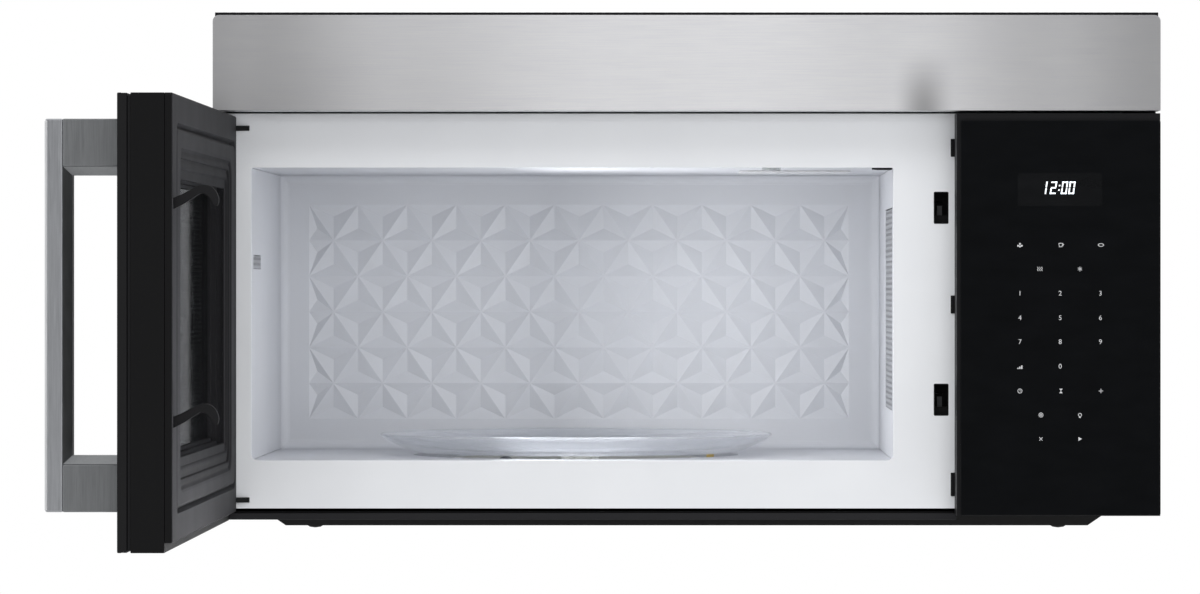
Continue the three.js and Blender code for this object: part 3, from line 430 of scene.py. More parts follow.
# Enamels: the white front, the duller cavity, and the cavity's fields of small holes, whose enamel is painted
# greyer: painted shade of the holes.
WHITE_ENAMEL = BakedEnamel("white baked enamel", "e7e8eb", 0.32, sockets=(("Coat Weight", 0.15),))
CAVITY_ENAMEL = BakedEnamel("cavity enamel", "c6c8cc", 0.36, sockets=(("Coat Weight", 0.1),), peel_mm=1.4,
                            dark="c1c3c8", light="c9cbd0")
HOLE_SHADE_ENAMEL = BakedEnamel("pierced cavity enamel", "8f9195", 0.45, peel_mm=1.4, dark="8a8c90",
                             light="96989c")

# The wrap and the base pan, with fine pimples. The pan is painted a darker black than the wrap: painted shade
# on the underside.
POWDER_COAT = GrainedPlastic("black powder coat", "141516", 0.55, grain_mm=1.3, dark="111213", light="181919",
                             depth_mm=0.06)
PAN_SHADE_BLACK = GrainedPlastic("black pan enamel", "070708", 0.5, grain_mm=1.3, dark="060607", light="09090a",
                            depth_mm=0.04)

# Moulded blacks, from the bezel and the louvres to the door's shell and the rail.
BLACK_ABS = GrainedPlastic("black moulded ABS", "151516", 0.5, dark="131314", light="18181a")
SHELL_ABS = GrainedPlastic("deep black ABS", "0b0b0c", 0.5, dark="0a0a0b", light="0d0d0e")
LIP_ABS = GrainedPlastic("smooth lip ABS", "151516", 0.5, dark="141415", light="171718")
RAIL_ABS = GrainedPlastic("grey-black rail ABS", "242426", 0.5, dark="212123", light="272729")
# Near-black with no specular, for the block at the back of the rail: painted shade where the gap under the
# white front falls in shadow.
SHADOW_GAP_BLACK = GrainedPlastic("painted shadow gap black", "020202", 0.6, sockets=specular(0.0), dark="020202",
                            light="030303")

# The door's inner cover is greyer and smoother than the rest: the grey is painted sheen, with the shader's
# own sheen almost off. Its recess is a little darker than its rim: painted shade.
SHEEN_GREY_ABS = GrainedPlastic("black ABS with painted sheen", "303032", 0.5, sockets=specular(0.01), grain_mm=1.1,
                           dark="2f2f31", light="323234", depth_mm=0.006)
RECESS_SHADE_ABS = GrainedPlastic("recessed black ABS with painted shade", "262628", 0.5, sockets=specular(0.01), grain_mm=1.1,
                            dark="252527", light="282829", depth_mm=0.006)

# Other plastics and fillings.
NYLON, AMBER_NYLON, DARK_NYLON = (
    GrainedPlastic(name, colour, 0.45, sockets=(), grain_mm=1.2, dark=dark, light=light)
    for name, colour, dark, light in (("natural nylon", "c6c6c2", "bdbdb8", "cfcfcb"),
                                      ("amber nylon", "b49a55", "a98f4a", "bfa661"),
                                      ("grey nylon", "55565a", "47484b", "66676b")))
SOLDER_MASK = GrainedPlastic("green solder mask", "2a6b3f", 0.35, sockets=(), grain_mm=3.0, dark="215a33",
                             light="2f7446", depth_mm=0.02)
CHARCOAL = Granules("activated charcoal", "1d1d1d", 0.85)
MICA = Granules("painted mica sheet", "c6c7c9", 0.5, grain_mm=5.0, dark="c0c1c4", light="cdced0")

# Glass. The door's inner pane is bloomed, so that little of the bright cavity shows in it.
BLACK_GLASS = PrintedGlass("black printed glass", "0e0f11", 0.06, sockets=specular(0.08))
SMOKED_GLASS = PrintedGlass("smoked window glass", "0b0c0d", 0.12, sockets=specular(0.2))
BLOOMED_GLASS = PrintedGlass("bloomed smoked glass", "101112", 0.2, sockets=(*specular(0.0), ("Alpha", 0.12)))
SCREEN_FILM = PrintedGlass("smoked screen film", "343537", 0.04, sockets=(*specular(0.21), ("Alpha", 0.55)))
DISPLAY_FILTER = PrintedGlass("display filter", "08090a", 0.18, sockets=specular(0.18))
TRAY_GLASS = PressedGlass("pressed soda-lime glass", "e0e3e8", 0.05,
                          sockets=(("IOR", 1.16), ("Transmission Weight", 0.62), ("Alpha", 0.6)))
LAMP_GLASS = PressedGlass("frosted lamp glass", "e6ebea", 0.28,
                          sockets=(("IOR", 1.5), ("Transmission Weight", 0.8)), wave_mm=3.0)

# Prints.
INK = Finish("white ceramic ink", "c9cacc", 0.5)
SEGMENTS = LitSegments("lit display segments", "e9eef2", 0.5)


# ---- Mesh making ----


class Axis(Enum):
    """The axis that a flat outline is extruded along; the outline lies in the other two."""

    X = ((0, 1, 0), (0, 0, 1), (1, 0, 0))
    Y = ((1, 0, 0), (0, 0, 1), (0, -1, 0))
    Z = ((1, 0, 0), (0, 1, 0), (0, 0, 1))

    def matrix(self, middle_mm: float) -> Matrix:
        """Turns a shape drawn in a plane, in metres, to lie square to the axis at a place along it."""
        columns = [Vector(v) for v in self.value]
        turn = Matrix((columns[0], columns[1], columns[2])).transposed().to_4x4()
        along = Vector([abs(c) for c in columns[2]]) * middle_mm * MM
        return Matrix.Translation(along) @ turn


def rounded(x0: float, x1: float, y0: float, y1: float, radius: float = 0.0, steps: int = 6) -> Outline:
    """A rectangle's outline, counter-clockwise, with round corners of one radius."""
    if radius <= 0:
        return [(x0, y0), (x1, y0), (x1, y1), (x0, y1)]
    corners = [(x1 - radius, y0 + radius, -90), (x1 - radius, y1 - radius, 0),
               (x0 + radius, y1 - radius, 90), (x0 + radius, y0 + radius, 180)]
    points = []
    for cx, cy, start in corners:
        for i in range(steps + 1):
            angle = math.radians(start + 90 * i / steps)
            points.append((cx + radius * math.cos(angle), cy + radius * math.sin(angle)))
    return points


def inset(u: Point, v: Point, by: float, radius: float = 0.0, steps: int = 6) -> Outline:
    """The outline of a rectangle with those spans, drawn in on every side."""
    return rounded(u[0] + by, u[1] - by, v[0] + by, v[1] - by, radius, steps)


def two_rounded(u: Point, v: Point, lower: float, upper: float) -> Outline:
    """A rectangle's outline with one radius for its two lower corners and another for its upper ones."""
    below, above = rounded(*u, *v, lower), rounded(*u, *v, upper)
    corner = len(below) // 4
    return below[:corner] + above[corner : 3 * corner] + below[3 * corner :]


def circle(cx: float, cy: float, radius: float, steps: int = 24) -> Outline:
    """A circle's outline, counter-clockwise."""
    turn = 2 * math.pi / steps
    return [(cx + radius * math.cos(i * turn), cy + radius * math.sin(i * turn)) for i in range(steps)]


def smooth_loop(points: Outline, steps: int, keep: Sequence[int] = ()) -> Outline:
    """Rounds a closed outline into a smooth curve through its points, a Catmull-Rom spline.

    Args:
        points: the outline's points.
        steps: how many pieces each side is drawn with.
        keep: numbers of points that stay sharp corners.

    Returns:
        The finer outline.
    """
    count = len(points)
    finer = []
    for i in range(count):
        before, start, end, after = (points[(i + k) % count] for k in (-1, 0, 1, 2))
        if i in keep and (i + 1) % count in keep:
            finer.append(start)
            continue
        before = start if i in keep else before
        after = end if (i + 1) % count in keep else after
        for step in range(steps):
            t = step / steps
            finer.append(tuple(
                0.5 * (2 * b + (c - a) * t + (2 * a - 5 * b + 4 * c - d) * t**2
                       + (3 * b - a - 3 * c + d) * t**3)
                for a, b, c, d in zip(before, start, end, after)))
    return finer


def new_object(name: str, data: bpy.types.ID) -> bpy.types.Object:
    """An object in the scene that holds the data."""
    made = bpy.data.objects.new(name, data)
    bpy.context.scene.collection.objects.link(made)
    return made


def mesh_of(shape: bmesh.types.BMesh, name: str) -> bpy.types.Mesh:
    """Turns a shape into a mesh and uses the shape up."""
    mesh = bpy.data.meshes.new(name)
    shape.to_mesh(mesh)
    shape.free()
    return mesh


def mesh_of_curve(curve: bpy.types.Curve) -> bpy.types.Mesh:
    """Turns a curve into a mesh and uses the curve up."""
    holder = new_object("curve", curve)
    graph = bpy.context.evaluated_depsgraph_get()
    mesh = bpy.data.meshes.new_from_object(holder.evaluated_get(graph))
    bpy.data.objects.remove(holder)
    bpy.data.curves.remove(curve)
    return mesh


def pierced_sheet(u: Point, v: Point, axis: Axis, low: float, high: float, pitch: float,
                  radius: float) -> bpy.types.Mesh:
    """A thin sheet full of staggered round holes, made cell by cell so that thousands stay quick.

    Args:
        u: the field's span across, in the plane square to the axis.
        v: its span upwards.
        axis: the axis the sheet is thick along.
        low: where it starts along the axis.
        high: where it ends.
        pitch: the distance between neighbouring holes.
        radius: the holes' radius.

    Returns:
        The sheet, whose own edge is a row of whole cells just inside the field.
    """
    turns = [math.radians(60 * i + 30) for i in range(6)]
    cell = [(pitch / math.sqrt(3) * math.cos(a), pitch / math.sqrt(3) * math.sin(a)) for a in turns]
    hole = [(radius * math.cos(a), radius * math.sin(a)) for a in turns]
    shape = bmesh.new()
    for row in range(int((v[1] - v[0] - pitch) / (pitch * ROW_RISE)) + 1):
        y = v[0] + pitch / 2 + row * pitch * ROW_RISE
        start = u[0] + pitch / 2 + (pitch / 2 if row % 2 else 0)
        for column in range(int((u[1] - pitch / 2 - start) / pitch) + 1):
            x = start + column * pitch
            rings = [[shape.verts.new(Vector((x + a, y + b, h)) * MM) for a, b in loop]
                     for loop, h in ((cell, high - low), (hole, high - low), (hole, 0.0), (cell, 0.0))]
            for first, second in zip(rings, rings[1:]):
                for i in range(6):
                    k = (i + 1) % 6
                    shape.faces.new((first[i], first[k], second[k], second[i]))
    bmesh.ops.remove_doubles(shape, verts=shape.verts, dist=0.01 * MM)
    mesh = mesh_of(shape, "pierced")
    mesh.transform(axis.matrix(high if axis is Axis.Y else low))
    return mesh


def signed_area(loop: Outline) -> float:
    """Twice the area inside an outline, positive where it runs counter-clockwise."""
    return sum(a[0] * b[1] - b[0] * a[1] for a, b in zip(loop, loop[1:] + loop[:1]))


def plate(outline: Outline, axis: Axis, low: float, high: float, holes: Iterable[Outline] = (),
          edge: float = 0.4, steps: int = 1) -> bpy.types.Mesh:
    """A flat plate with holes and rounded edges.

    Args:
        outline: its outer edge, in millimetres, in the plane square to the axis.
        axis: the axis it is thick along.
        low: where it starts along the axis.
        high: where it ends.
        holes: outlines of its holes.
        edge: the radius of its edges; it takes nothing off the outline.
        steps: how finely that radius is rounded.

    Returns:
        The mesh, in metres, in place.
    """
    curve = bpy.data.curves.new("plate", "CURVE")
    curve.dimensions = "2D"
    curve.fill_mode = "BOTH"
    half = (high - low) / 2
    edge = min(edge, half * 0.49)
    curve.extrude = (half - edge) * MM
    curve.bevel_depth = edge * MM
    curve.bevel_resolution = steps
    curve.offset = -edge * MM
    for number, loop in enumerate([outline, *holes]):
        is_outer = number == 0
        run = loop if (signed_area(loop) > 0) == is_outer else loop[::-1]
        spline = curve.splines.new("POLY")
        spline.points.add(len(run) - 1)
        for point, (u, v) in zip(spline.points, run):
            point.co = (u * MM, v * MM, 0, 1)
        spline.use_cyclic_u = True
    mesh = mesh_of_curve(curve)
    weld(mesh)
    mesh.transform(axis.matrix((low + high) / 2))
    return mesh


def weld(mesh: bpy.types.Mesh, gap_mm: float = 0.002) -> None:
    """Joins vertices that lie on each other and turns every face outwards."""
    shape = bmesh.new()
    shape.from_mesh(mesh)
    bmesh.ops.remove_doubles(shape, verts=shape.verts, dist=gap_mm * MM)
    bmesh.ops.recalc_face_normals(shape, faces=shape.faces)
    shape.to_mesh(mesh)
    shape.free()


def block(x: Point, y: Point, z: Point, edge: float = 0.5, steps: int = 2) -> bpy.types.Mesh:
    """A box with rounded edges, from its span in millimetres along each axis."""
    shape = bmesh.new()
    bmesh.ops.create_cube(shape, size=1)
    for vert in shape.verts:
        vert.co = [span[c > 0] * MM for c, span in zip(vert.co, (x, y, z))]
    width = min(edge, 0.45 * min(s[1] - s[0] for s in (x, y, z)))
    if width > 0:
        bmesh.ops.bevel(shape, geom=list(shape.edges), offset=width * MM, segments=steps, profile=0.5,
                        affect="EDGES")
    return mesh_of(shape, "block")


def rings_mesh(rings: Sequence[Sequence[Vector]], closed: bool = True, loop: bool = False) -> bpy.types.Mesh:
    """Skins rings of equally many points, in metres, with quads.

    Args:
        rings: the rings, in order.
        closed: whether each ring's last point joins its first.
        loop: whether the last ring joins the first.

    Returns:
        The mesh, with its faces turned outwards where it is closed.
    """
    shape = bmesh.new()
    made = [[shape.verts.new(p) for p in ring] for ring in rings]
    count = len(made[0])
    pairs = list(zip(made, made[1:])) + ([(made[-1], made[0])] if loop else [])
    for first, second in pairs:
        for i in range(count if closed else count - 1):
            j = (i + 1) % count
            shape.faces.new((first[i], first[j], second[j], second[i]))
    bmesh.ops.remove_doubles(shape, verts=shape.verts, dist=0.001 * MM)
    bmesh.ops.recalc_face_normals(shape, faces=shape.faces)
    return mesh_of(shape, "rings")


def lathe(profile: Outline, centre: Triple, axis: Axis = Axis.Z,
          steps: int = 64) -> bpy.types.Mesh:
    """A body of revolution.

    Args:
        profile: (radius, height) points in millimetres; a closed loop, or one with both ends on the axis.
        centre: the place that height 0 on the axis has.
        axis: the axis it turns about, Z or X.
        steps: corners round it.

    Returns:
        The mesh, in place.
    """
    turn = 2 * math.pi / steps
    rings = [[Vector((r * math.cos(i * turn), r * math.sin(i * turn), h)) * MM for r, h in profile]
             for i in range(steps)]
    is_loop = profile[0][0] > 0 or profile[-1][0] > 0
    mesh = rings_mesh(rings, closed=is_loop, loop=True)
    turned = Matrix.Rotation(math.pi / 2, 4, "Y") if axis is Axis.X else Matrix.Identity(4)
    mesh.transform(Matrix.Translation(Vector(centre) * MM) @ turned)
    return mesh


def smoothed(mesh: bpy.types.Mesh, angle: float) -> None:
    """Shades a mesh smooth, with its flat faces and its sharp edges left crisp.

    Args:
        mesh: the mesh.
        angle: edges sharper than this many degrees stay crisp.
    """
    mesh.polygons.foreach_set("use_smooth", [True] * len(mesh.polygons))
    mesh.set_sharp_from_angle(angle=math.radians(angle))
    shape = bmesh.new()
    shape.from_mesh(mesh)
    for edge in shape.edges:
        if len(edge.link_faces) == 2 and edge.smooth:
            level = any(max(map(abs, face.normal)) > LEVEL for face in edge.link_faces)
            if level and edge.calc_face_angle() > FLAT_EDGE:
                edge.smooth = False
    shape.to_mesh(mesh)
    shape.free()


@dataclass
class Piece:
    """A visible piece in the making: it takes meshes with a finish each, then goes on its body."""

    name: str
    shape: bmesh.types.BMesh = field(default_factory=bmesh.new)
    finishes: list[Finish] = field(default_factory=list)

    def add(self, mesh: bpy.types.Mesh, finish: Finish, move: Matrix | None = None) -> Piece:
        """Adds a mesh with a finish and uses the mesh up.

        Args:
            mesh: the mesh, in metres, in place.
            finish: its finish.
            move: a matrix that puts it in place first.

        Returns:
            The piece itself, so that calls can follow each other.
        """
        if move is not None:
            mesh.transform(move)
        if finish not in self.finishes:
            self.finishes.append(finish)
        start = len(self.shape.faces)
        self.shape.from_mesh(mesh)
        self.shape.faces.ensure_lookup_table()
        number = self.finishes.index(finish)
        for face in self.shape.faces[start:]:
            face.material_index = number
        bpy.data.meshes.remove(mesh)
        return self

    def done(self, body: str, node: str = "", angle: float = CREASE) -> None:
        """Makes the object, lets it ride, and hides the CAD node that it replaces.

        Args:
            body: the CAD body it moves with.
            node: the CAD node it stands for, if any.
            angle: edges sharper than this many degrees stay crisp.
        """
        mesh = mesh_of(self.shape, self.name)
        smoothed(mesh, angle)
        for finish in self.finishes:
            mesh.materials.append(finish.material())
        made = new_object(self.name, mesh)
        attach(made, body)
        if node:
            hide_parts(node)
        log.info("%s: %d faces on %s", self.name, len(mesh.polygons), body)


def add_ribs(piece: Piece, count: int, x: Point, end_gap: float, width: float, y: Point, z: Point,
             edge: float, finish: Finish) -> None:
    """Adds a row of equal ribs along X.

    Args:
        piece: the piece they go on.
        count: how many ribs.
        x: the row's span, with its ends.
        end_gap: what stays bare at each end.
        width: a rib's width, as a share of the pitch.
        y: each rib's span along Y.
        z: its span along Z.
        edge: the radius of its edges.
        finish: its finish.
    """
    pitch = (x[1] - x[0] - 2 * end_gap) / count
    for i in range(count):
        start = x[0] + end_gap + i * pitch
        piece.add(block((start, start + pitch * width), y, z, edge, 1), finish)


def dress(node: str, finish: Finish, edge: float = 0.0) -> None:
    """Gives a CAD node its finish, and rounds its edges with a modifier that leaves its mesh alone.

    Args:
        node: the node's name.
        finish: its finish.
        edge: the radius of its edges, in millimetres.
    """
    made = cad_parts[node]
    made.data.materials.clear()
    made.data.materials.append(finish.material())
    if edge > 0:
        bevel = made.modifiers.new("edge", "BEVEL")
        bevel.width = edge * MM
        bevel.segments = 2
        bevel.limit_method = "ANGLE"
        bevel.angle_limit = math.radians(40)
        bevel.use_clamp_overlap = True
    log.info("%s: dressed in %s", node, finish.name)


@dataclass(frozen=True)
class Span:
    """A CAD node's box in millimetres, as the lowest and highest place along each axis."""

    x: Point
    y: Point
    z: Point

    @classmethod
    def of(cls, node: str) -> Span:
        """The box of a node at rest."""
        low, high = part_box(node)
        return cls(*((a / MM, b / MM) for a, b in zip(low, high)))


def cavity_room() -> tuple[Point, Point]:
    """The oven cavity's inner spans along X and Z."""
    return ((Span.of("cavity_left_wall").x[1], Span.of("cavity_right_wall").x[0]),
            (Span.of("cavity_floor").z[1], Span.of("cavity_ceiling").z[0]))


BODY_HALF_HEIGHT = 403.3 / 2


def up(height: float) -> float:
    """A height above the front body's bottom edge, as a height in the row's frame."""
    return height - BODY_HALF_HEIGHT


# ---- The front and the oven cavity ----


@dataclass
class FrontFrame:
    """The white front: one pressed sheet round the mouth, with its slots and a flange along its top."""

    corner: float = 5.0
    corner_top: float = 1.2
    sheet: float = 1.0
    edge: float = 0.45
    latch: tuple[Point, Point] = ((234.4, 260.3), (79.4, 105.3))
    latch_x: Point = (199.6, 211.5)
    hinge: tuple[Point, Point] = ((309.5, 313.7), (9.3, 13.5))
    hinge_x: Point = (-377.0, -353.0)

    def build(self) -> None:
        """Makes the frame."""
        box = Span.of("front_frame")
        y0, y1 = box.y[0], box.y[0] + self.sheet
        mouth = two_rounded(*cavity_room(), self.corner, self.corner_top)
        slots = [rounded(*self.latch_x, up(a), up(b), 1.0, 3) for a, b in self.latch]
        slots += [rounded(*self.hinge_x, up(a), up(b), 0.4, 2) for a, b in self.hinge]
        piece = Piece("front_frame_sheet")
        sheet = plate(rounded(*box.x, *box.z, 0.8, 2), Axis.Y, y0, y1, [mouth, *slots], self.edge)
        piece.add(sheet, WHITE_ENAMEL)
        flange = box.z[1] - self.sheet, box.z[1] - 0.05
        piece.add(block(box.x, (y0 + 0.2, box.y[1]), flange, 0.3), WHITE_ENAMEL)
        for span in self.latch:
            piece.add(self.slot_liner(self.latch_x, span, y1), BLACK_ABS)
        piece.done("cabinet", "front_frame")

    def slot_liner(self, x: Point, span: Point, y: float) -> bpy.types.Mesh:
        """A thin black collar just inside a latch slot, like the guide that the hook slides past."""
        slot = up(span[0]), up(span[1])
        rim, hole = inset(x, slot, -1.5, 1.5, 3), inset(x, slot, 0.8, 1.0, 3)
        return plate(rim, Axis.Y, y + 0.02, y + 0.28, [hole], 0.05)


@dataclass
class Cavity:
    """The enamelled oven space: its dimpled back wall, perforated side walls and lamp lens."""

    step: float = 8.0
    field_x: Point = (-326.9, 140.5)
    field_h: Point = (69.3, 254.7)
    columns: int = 11
    rows: int = 6
    depth: float = 3.0
    fillet_steps: int = 6
    air_strip: tuple[Point, Point] = ((-344.0, -176.0), (80.0, 251.0))
    lamp_patch: tuple[Point, Point] = ((-344.0, -253.0), (195.0, 212.5))
    hole_pitch: float = 5.2
    hole_radius: float = 1.55
    gap: float = 0.15
    shadow_slat_y: float = -356.0
    shadow_slat_pitch: float = 7.0
    shadow_slat_count: int = 4
    lens: tuple[Point, Point] = ((61.0, 76.0), (-358.0, -342.0))

    def build(self) -> None:
        """Makes the back wall, the side walls and the fittings of the ceiling."""
        self.back_wall()
        self.side_wall("cavity_right_wall", self.air_strip)
        self.side_wall("cavity_left_wall", self.lamp_patch)
        self.ceiling_details()

    def back_wall(self) -> None:
        """The pressed back wall: a triangular lattice of shallow three-sided dimples inside a plain edge."""
        box = Span.of("cavity_back_wall")
        inner_x, inner_z = ((low + self.gap, high - self.gap) for low, high in cavity_room())
        face = box.y[0]
        piece = Piece("cavity_back_wall_pressed")
        piece.add(self.dimples(face), CAVITY_ENAMEL)
        hole = rounded(*self.field_x, up(self.field_h[0]), up(self.field_h[1]))
        flat = plate(inset(inner_x, inner_z, self.step), Axis.Y, face, face + 0.3, [hole], 0.0)
        piece.add(flat, CAVITY_ENAMEL)
        piece.add(self.fillet(inner_x, inner_z, face), CAVITY_ENAMEL)
        back = plate(rounded(*box.x, *box.z, 1.0, 2), Axis.Y, face + 0.35, box.y[1], [], 0.2)
        piece.add(back, CAVITY_ENAMEL, Matrix.Translation((0, (self.depth + 0.4) * MM, 0)))
        piece.done("cabinet", "cavity_back_wall", angle=5.0)

    def lattice(self) -> list[list[Vector]]:
        """The lattice's lines of vertices from the top down; every second line is shifted half a pitch."""
        pitch = (self.field_x[1] - self.field_x[0]) / self.columns
        rise = (self.field_h[1] - self.field_h[0]) / self.rows
        lines = []
        for row in range(self.rows + 1):
            z = up(self.field_h[1] - row * rise)
            xs = [self.field_x[0] + i * pitch for i in range(self.columns + 1)]
            if row % 2:
                xs = [xs[0]] + [x + pitch / 2 for x in xs[:-1]] + [xs[-1]]
            lines.append([Vector((x, 0.0, z)) for x in xs])
        return lines

    def triangles(self) -> list[tuple[Vector, Vector, Vector]]:
        """The lattice's triangles, with half triangles at both ends of each row."""
        lines = self.lattice()
        found = []
        for row in range(self.rows):
            shifted, straight = (lines[row], lines[row + 1]) if row % 2 else (lines[row + 1], lines[row])
            found += [(straight[i], straight[i + 1], shifted[i + 1]) for i in range(self.columns)]
            found += [(shifted[i], shifted[i + 1], straight[i]) for i in range(self.columns + 1)]
        return found

    def dimples(self, face: float) -> bpy.types.Mesh:
        """Pushes each triangle's middle back, so that it becomes three leaning facets."""
        shape = bmesh.new()
        for corners in self.triangles():
            middle = sum(corners, Vector()) / 3
            made = [shape.verts.new(Vector((c.x, face, c.z)) * MM) for c in corners]
            tip = shape.verts.new(Vector((middle.x, face + self.depth, middle.z)) * MM)
            for first, second in zip(made, made[1:] + made[:1]):
                shape.faces.new((first, second, tip))
        for facet in shape.faces:
            facet.normal_update()
            if facet.normal.y > 0:
                facet.normal_flip()
        return mesh_of(shape, "dimples")

    def fillet(self, x: Point, z: Point, face: float) -> bpy.types.Mesh:
        """The quarter round that joins the wall to the four sides of the cavity."""
        rings = []
        for i in range(self.fillet_steps + 1):
            angle = math.pi / 2 * i / self.fillet_steps
            y = face - self.step * (1 - math.sin(angle))
            loop = inset(x, z, self.step * (1 - math.cos(angle)))
            rings.append([Vector((u, y, v)) * MM for u, v in loop])
        mesh = rings_mesh(rings)
        middle = Vector((sum(x) / 2, face - 100, sum(z) / 2)) * MM
        side = mesh.polygons[0]
        if side.normal.dot(middle - side.center) < 0:
            mesh.flip_normals()
        return mesh

    def side_wall(self, node: str, patch: tuple[Point, Point]) -> None:
        """A side wall with a field of small round air holes.

        Args:
            node: the CAD wall.
            patch: the field's span along Y and its heights.
        """
        box = Span.of(node)
        along, height = patch[0], (up(patch[1][0]), up(patch[1][1]))
        opening = inset(along, height, 3.0, 1.0, 2)
        piece = Piece(node + "_pierced")
        piece.add(plate(rounded(*box.y, *box.z, 0.5, 1), Axis.X, *box.x, [opening], 0.12), CAVITY_ENAMEL)
        # The pierced field is painted greyer than the wall: painted shade of its holes.
        piece.add(pierced_sheet(along, height, Axis.X, box.x[0] + 0.2, box.x[1] - 0.2, self.hole_pitch,
                                self.hole_radius), HOLE_SHADE_ENAMEL)
        piece.done("cabinet", node)

    def ceiling_details(self) -> None:
        """Black slats in the ceiling's right corner, painted shade where that corner lies in shadow, and a
        small clear lamp lens, both just under the ceiling's front edge.
        """
        (_, right), (_, under) = cavity_room()
        # The black slats are painted shade: a dark thing set where the ceiling's right corner lies in shadow.
        vent = Piece("cavity_corner_shadow_slats")
        for i in range(self.shadow_slat_count):
            start = self.shadow_slat_y + self.shadow_slat_pitch * i
            across = right - 17.0 + 1.5 * i, right - 0.6
            vent.add(block(across, (start, start + 4.0), (under - 1.4, under - 0.05), 0.4), BLACK_ABS)
        vent.done("cabinet")
        lens = Piece("cavity_lamp_lens")
        lens.add(block(*self.lens, (under - 1.6, under - 0.05), 0.7), LAMP_GLASS)
        lens.done("cabinet")


# ---- The door ----


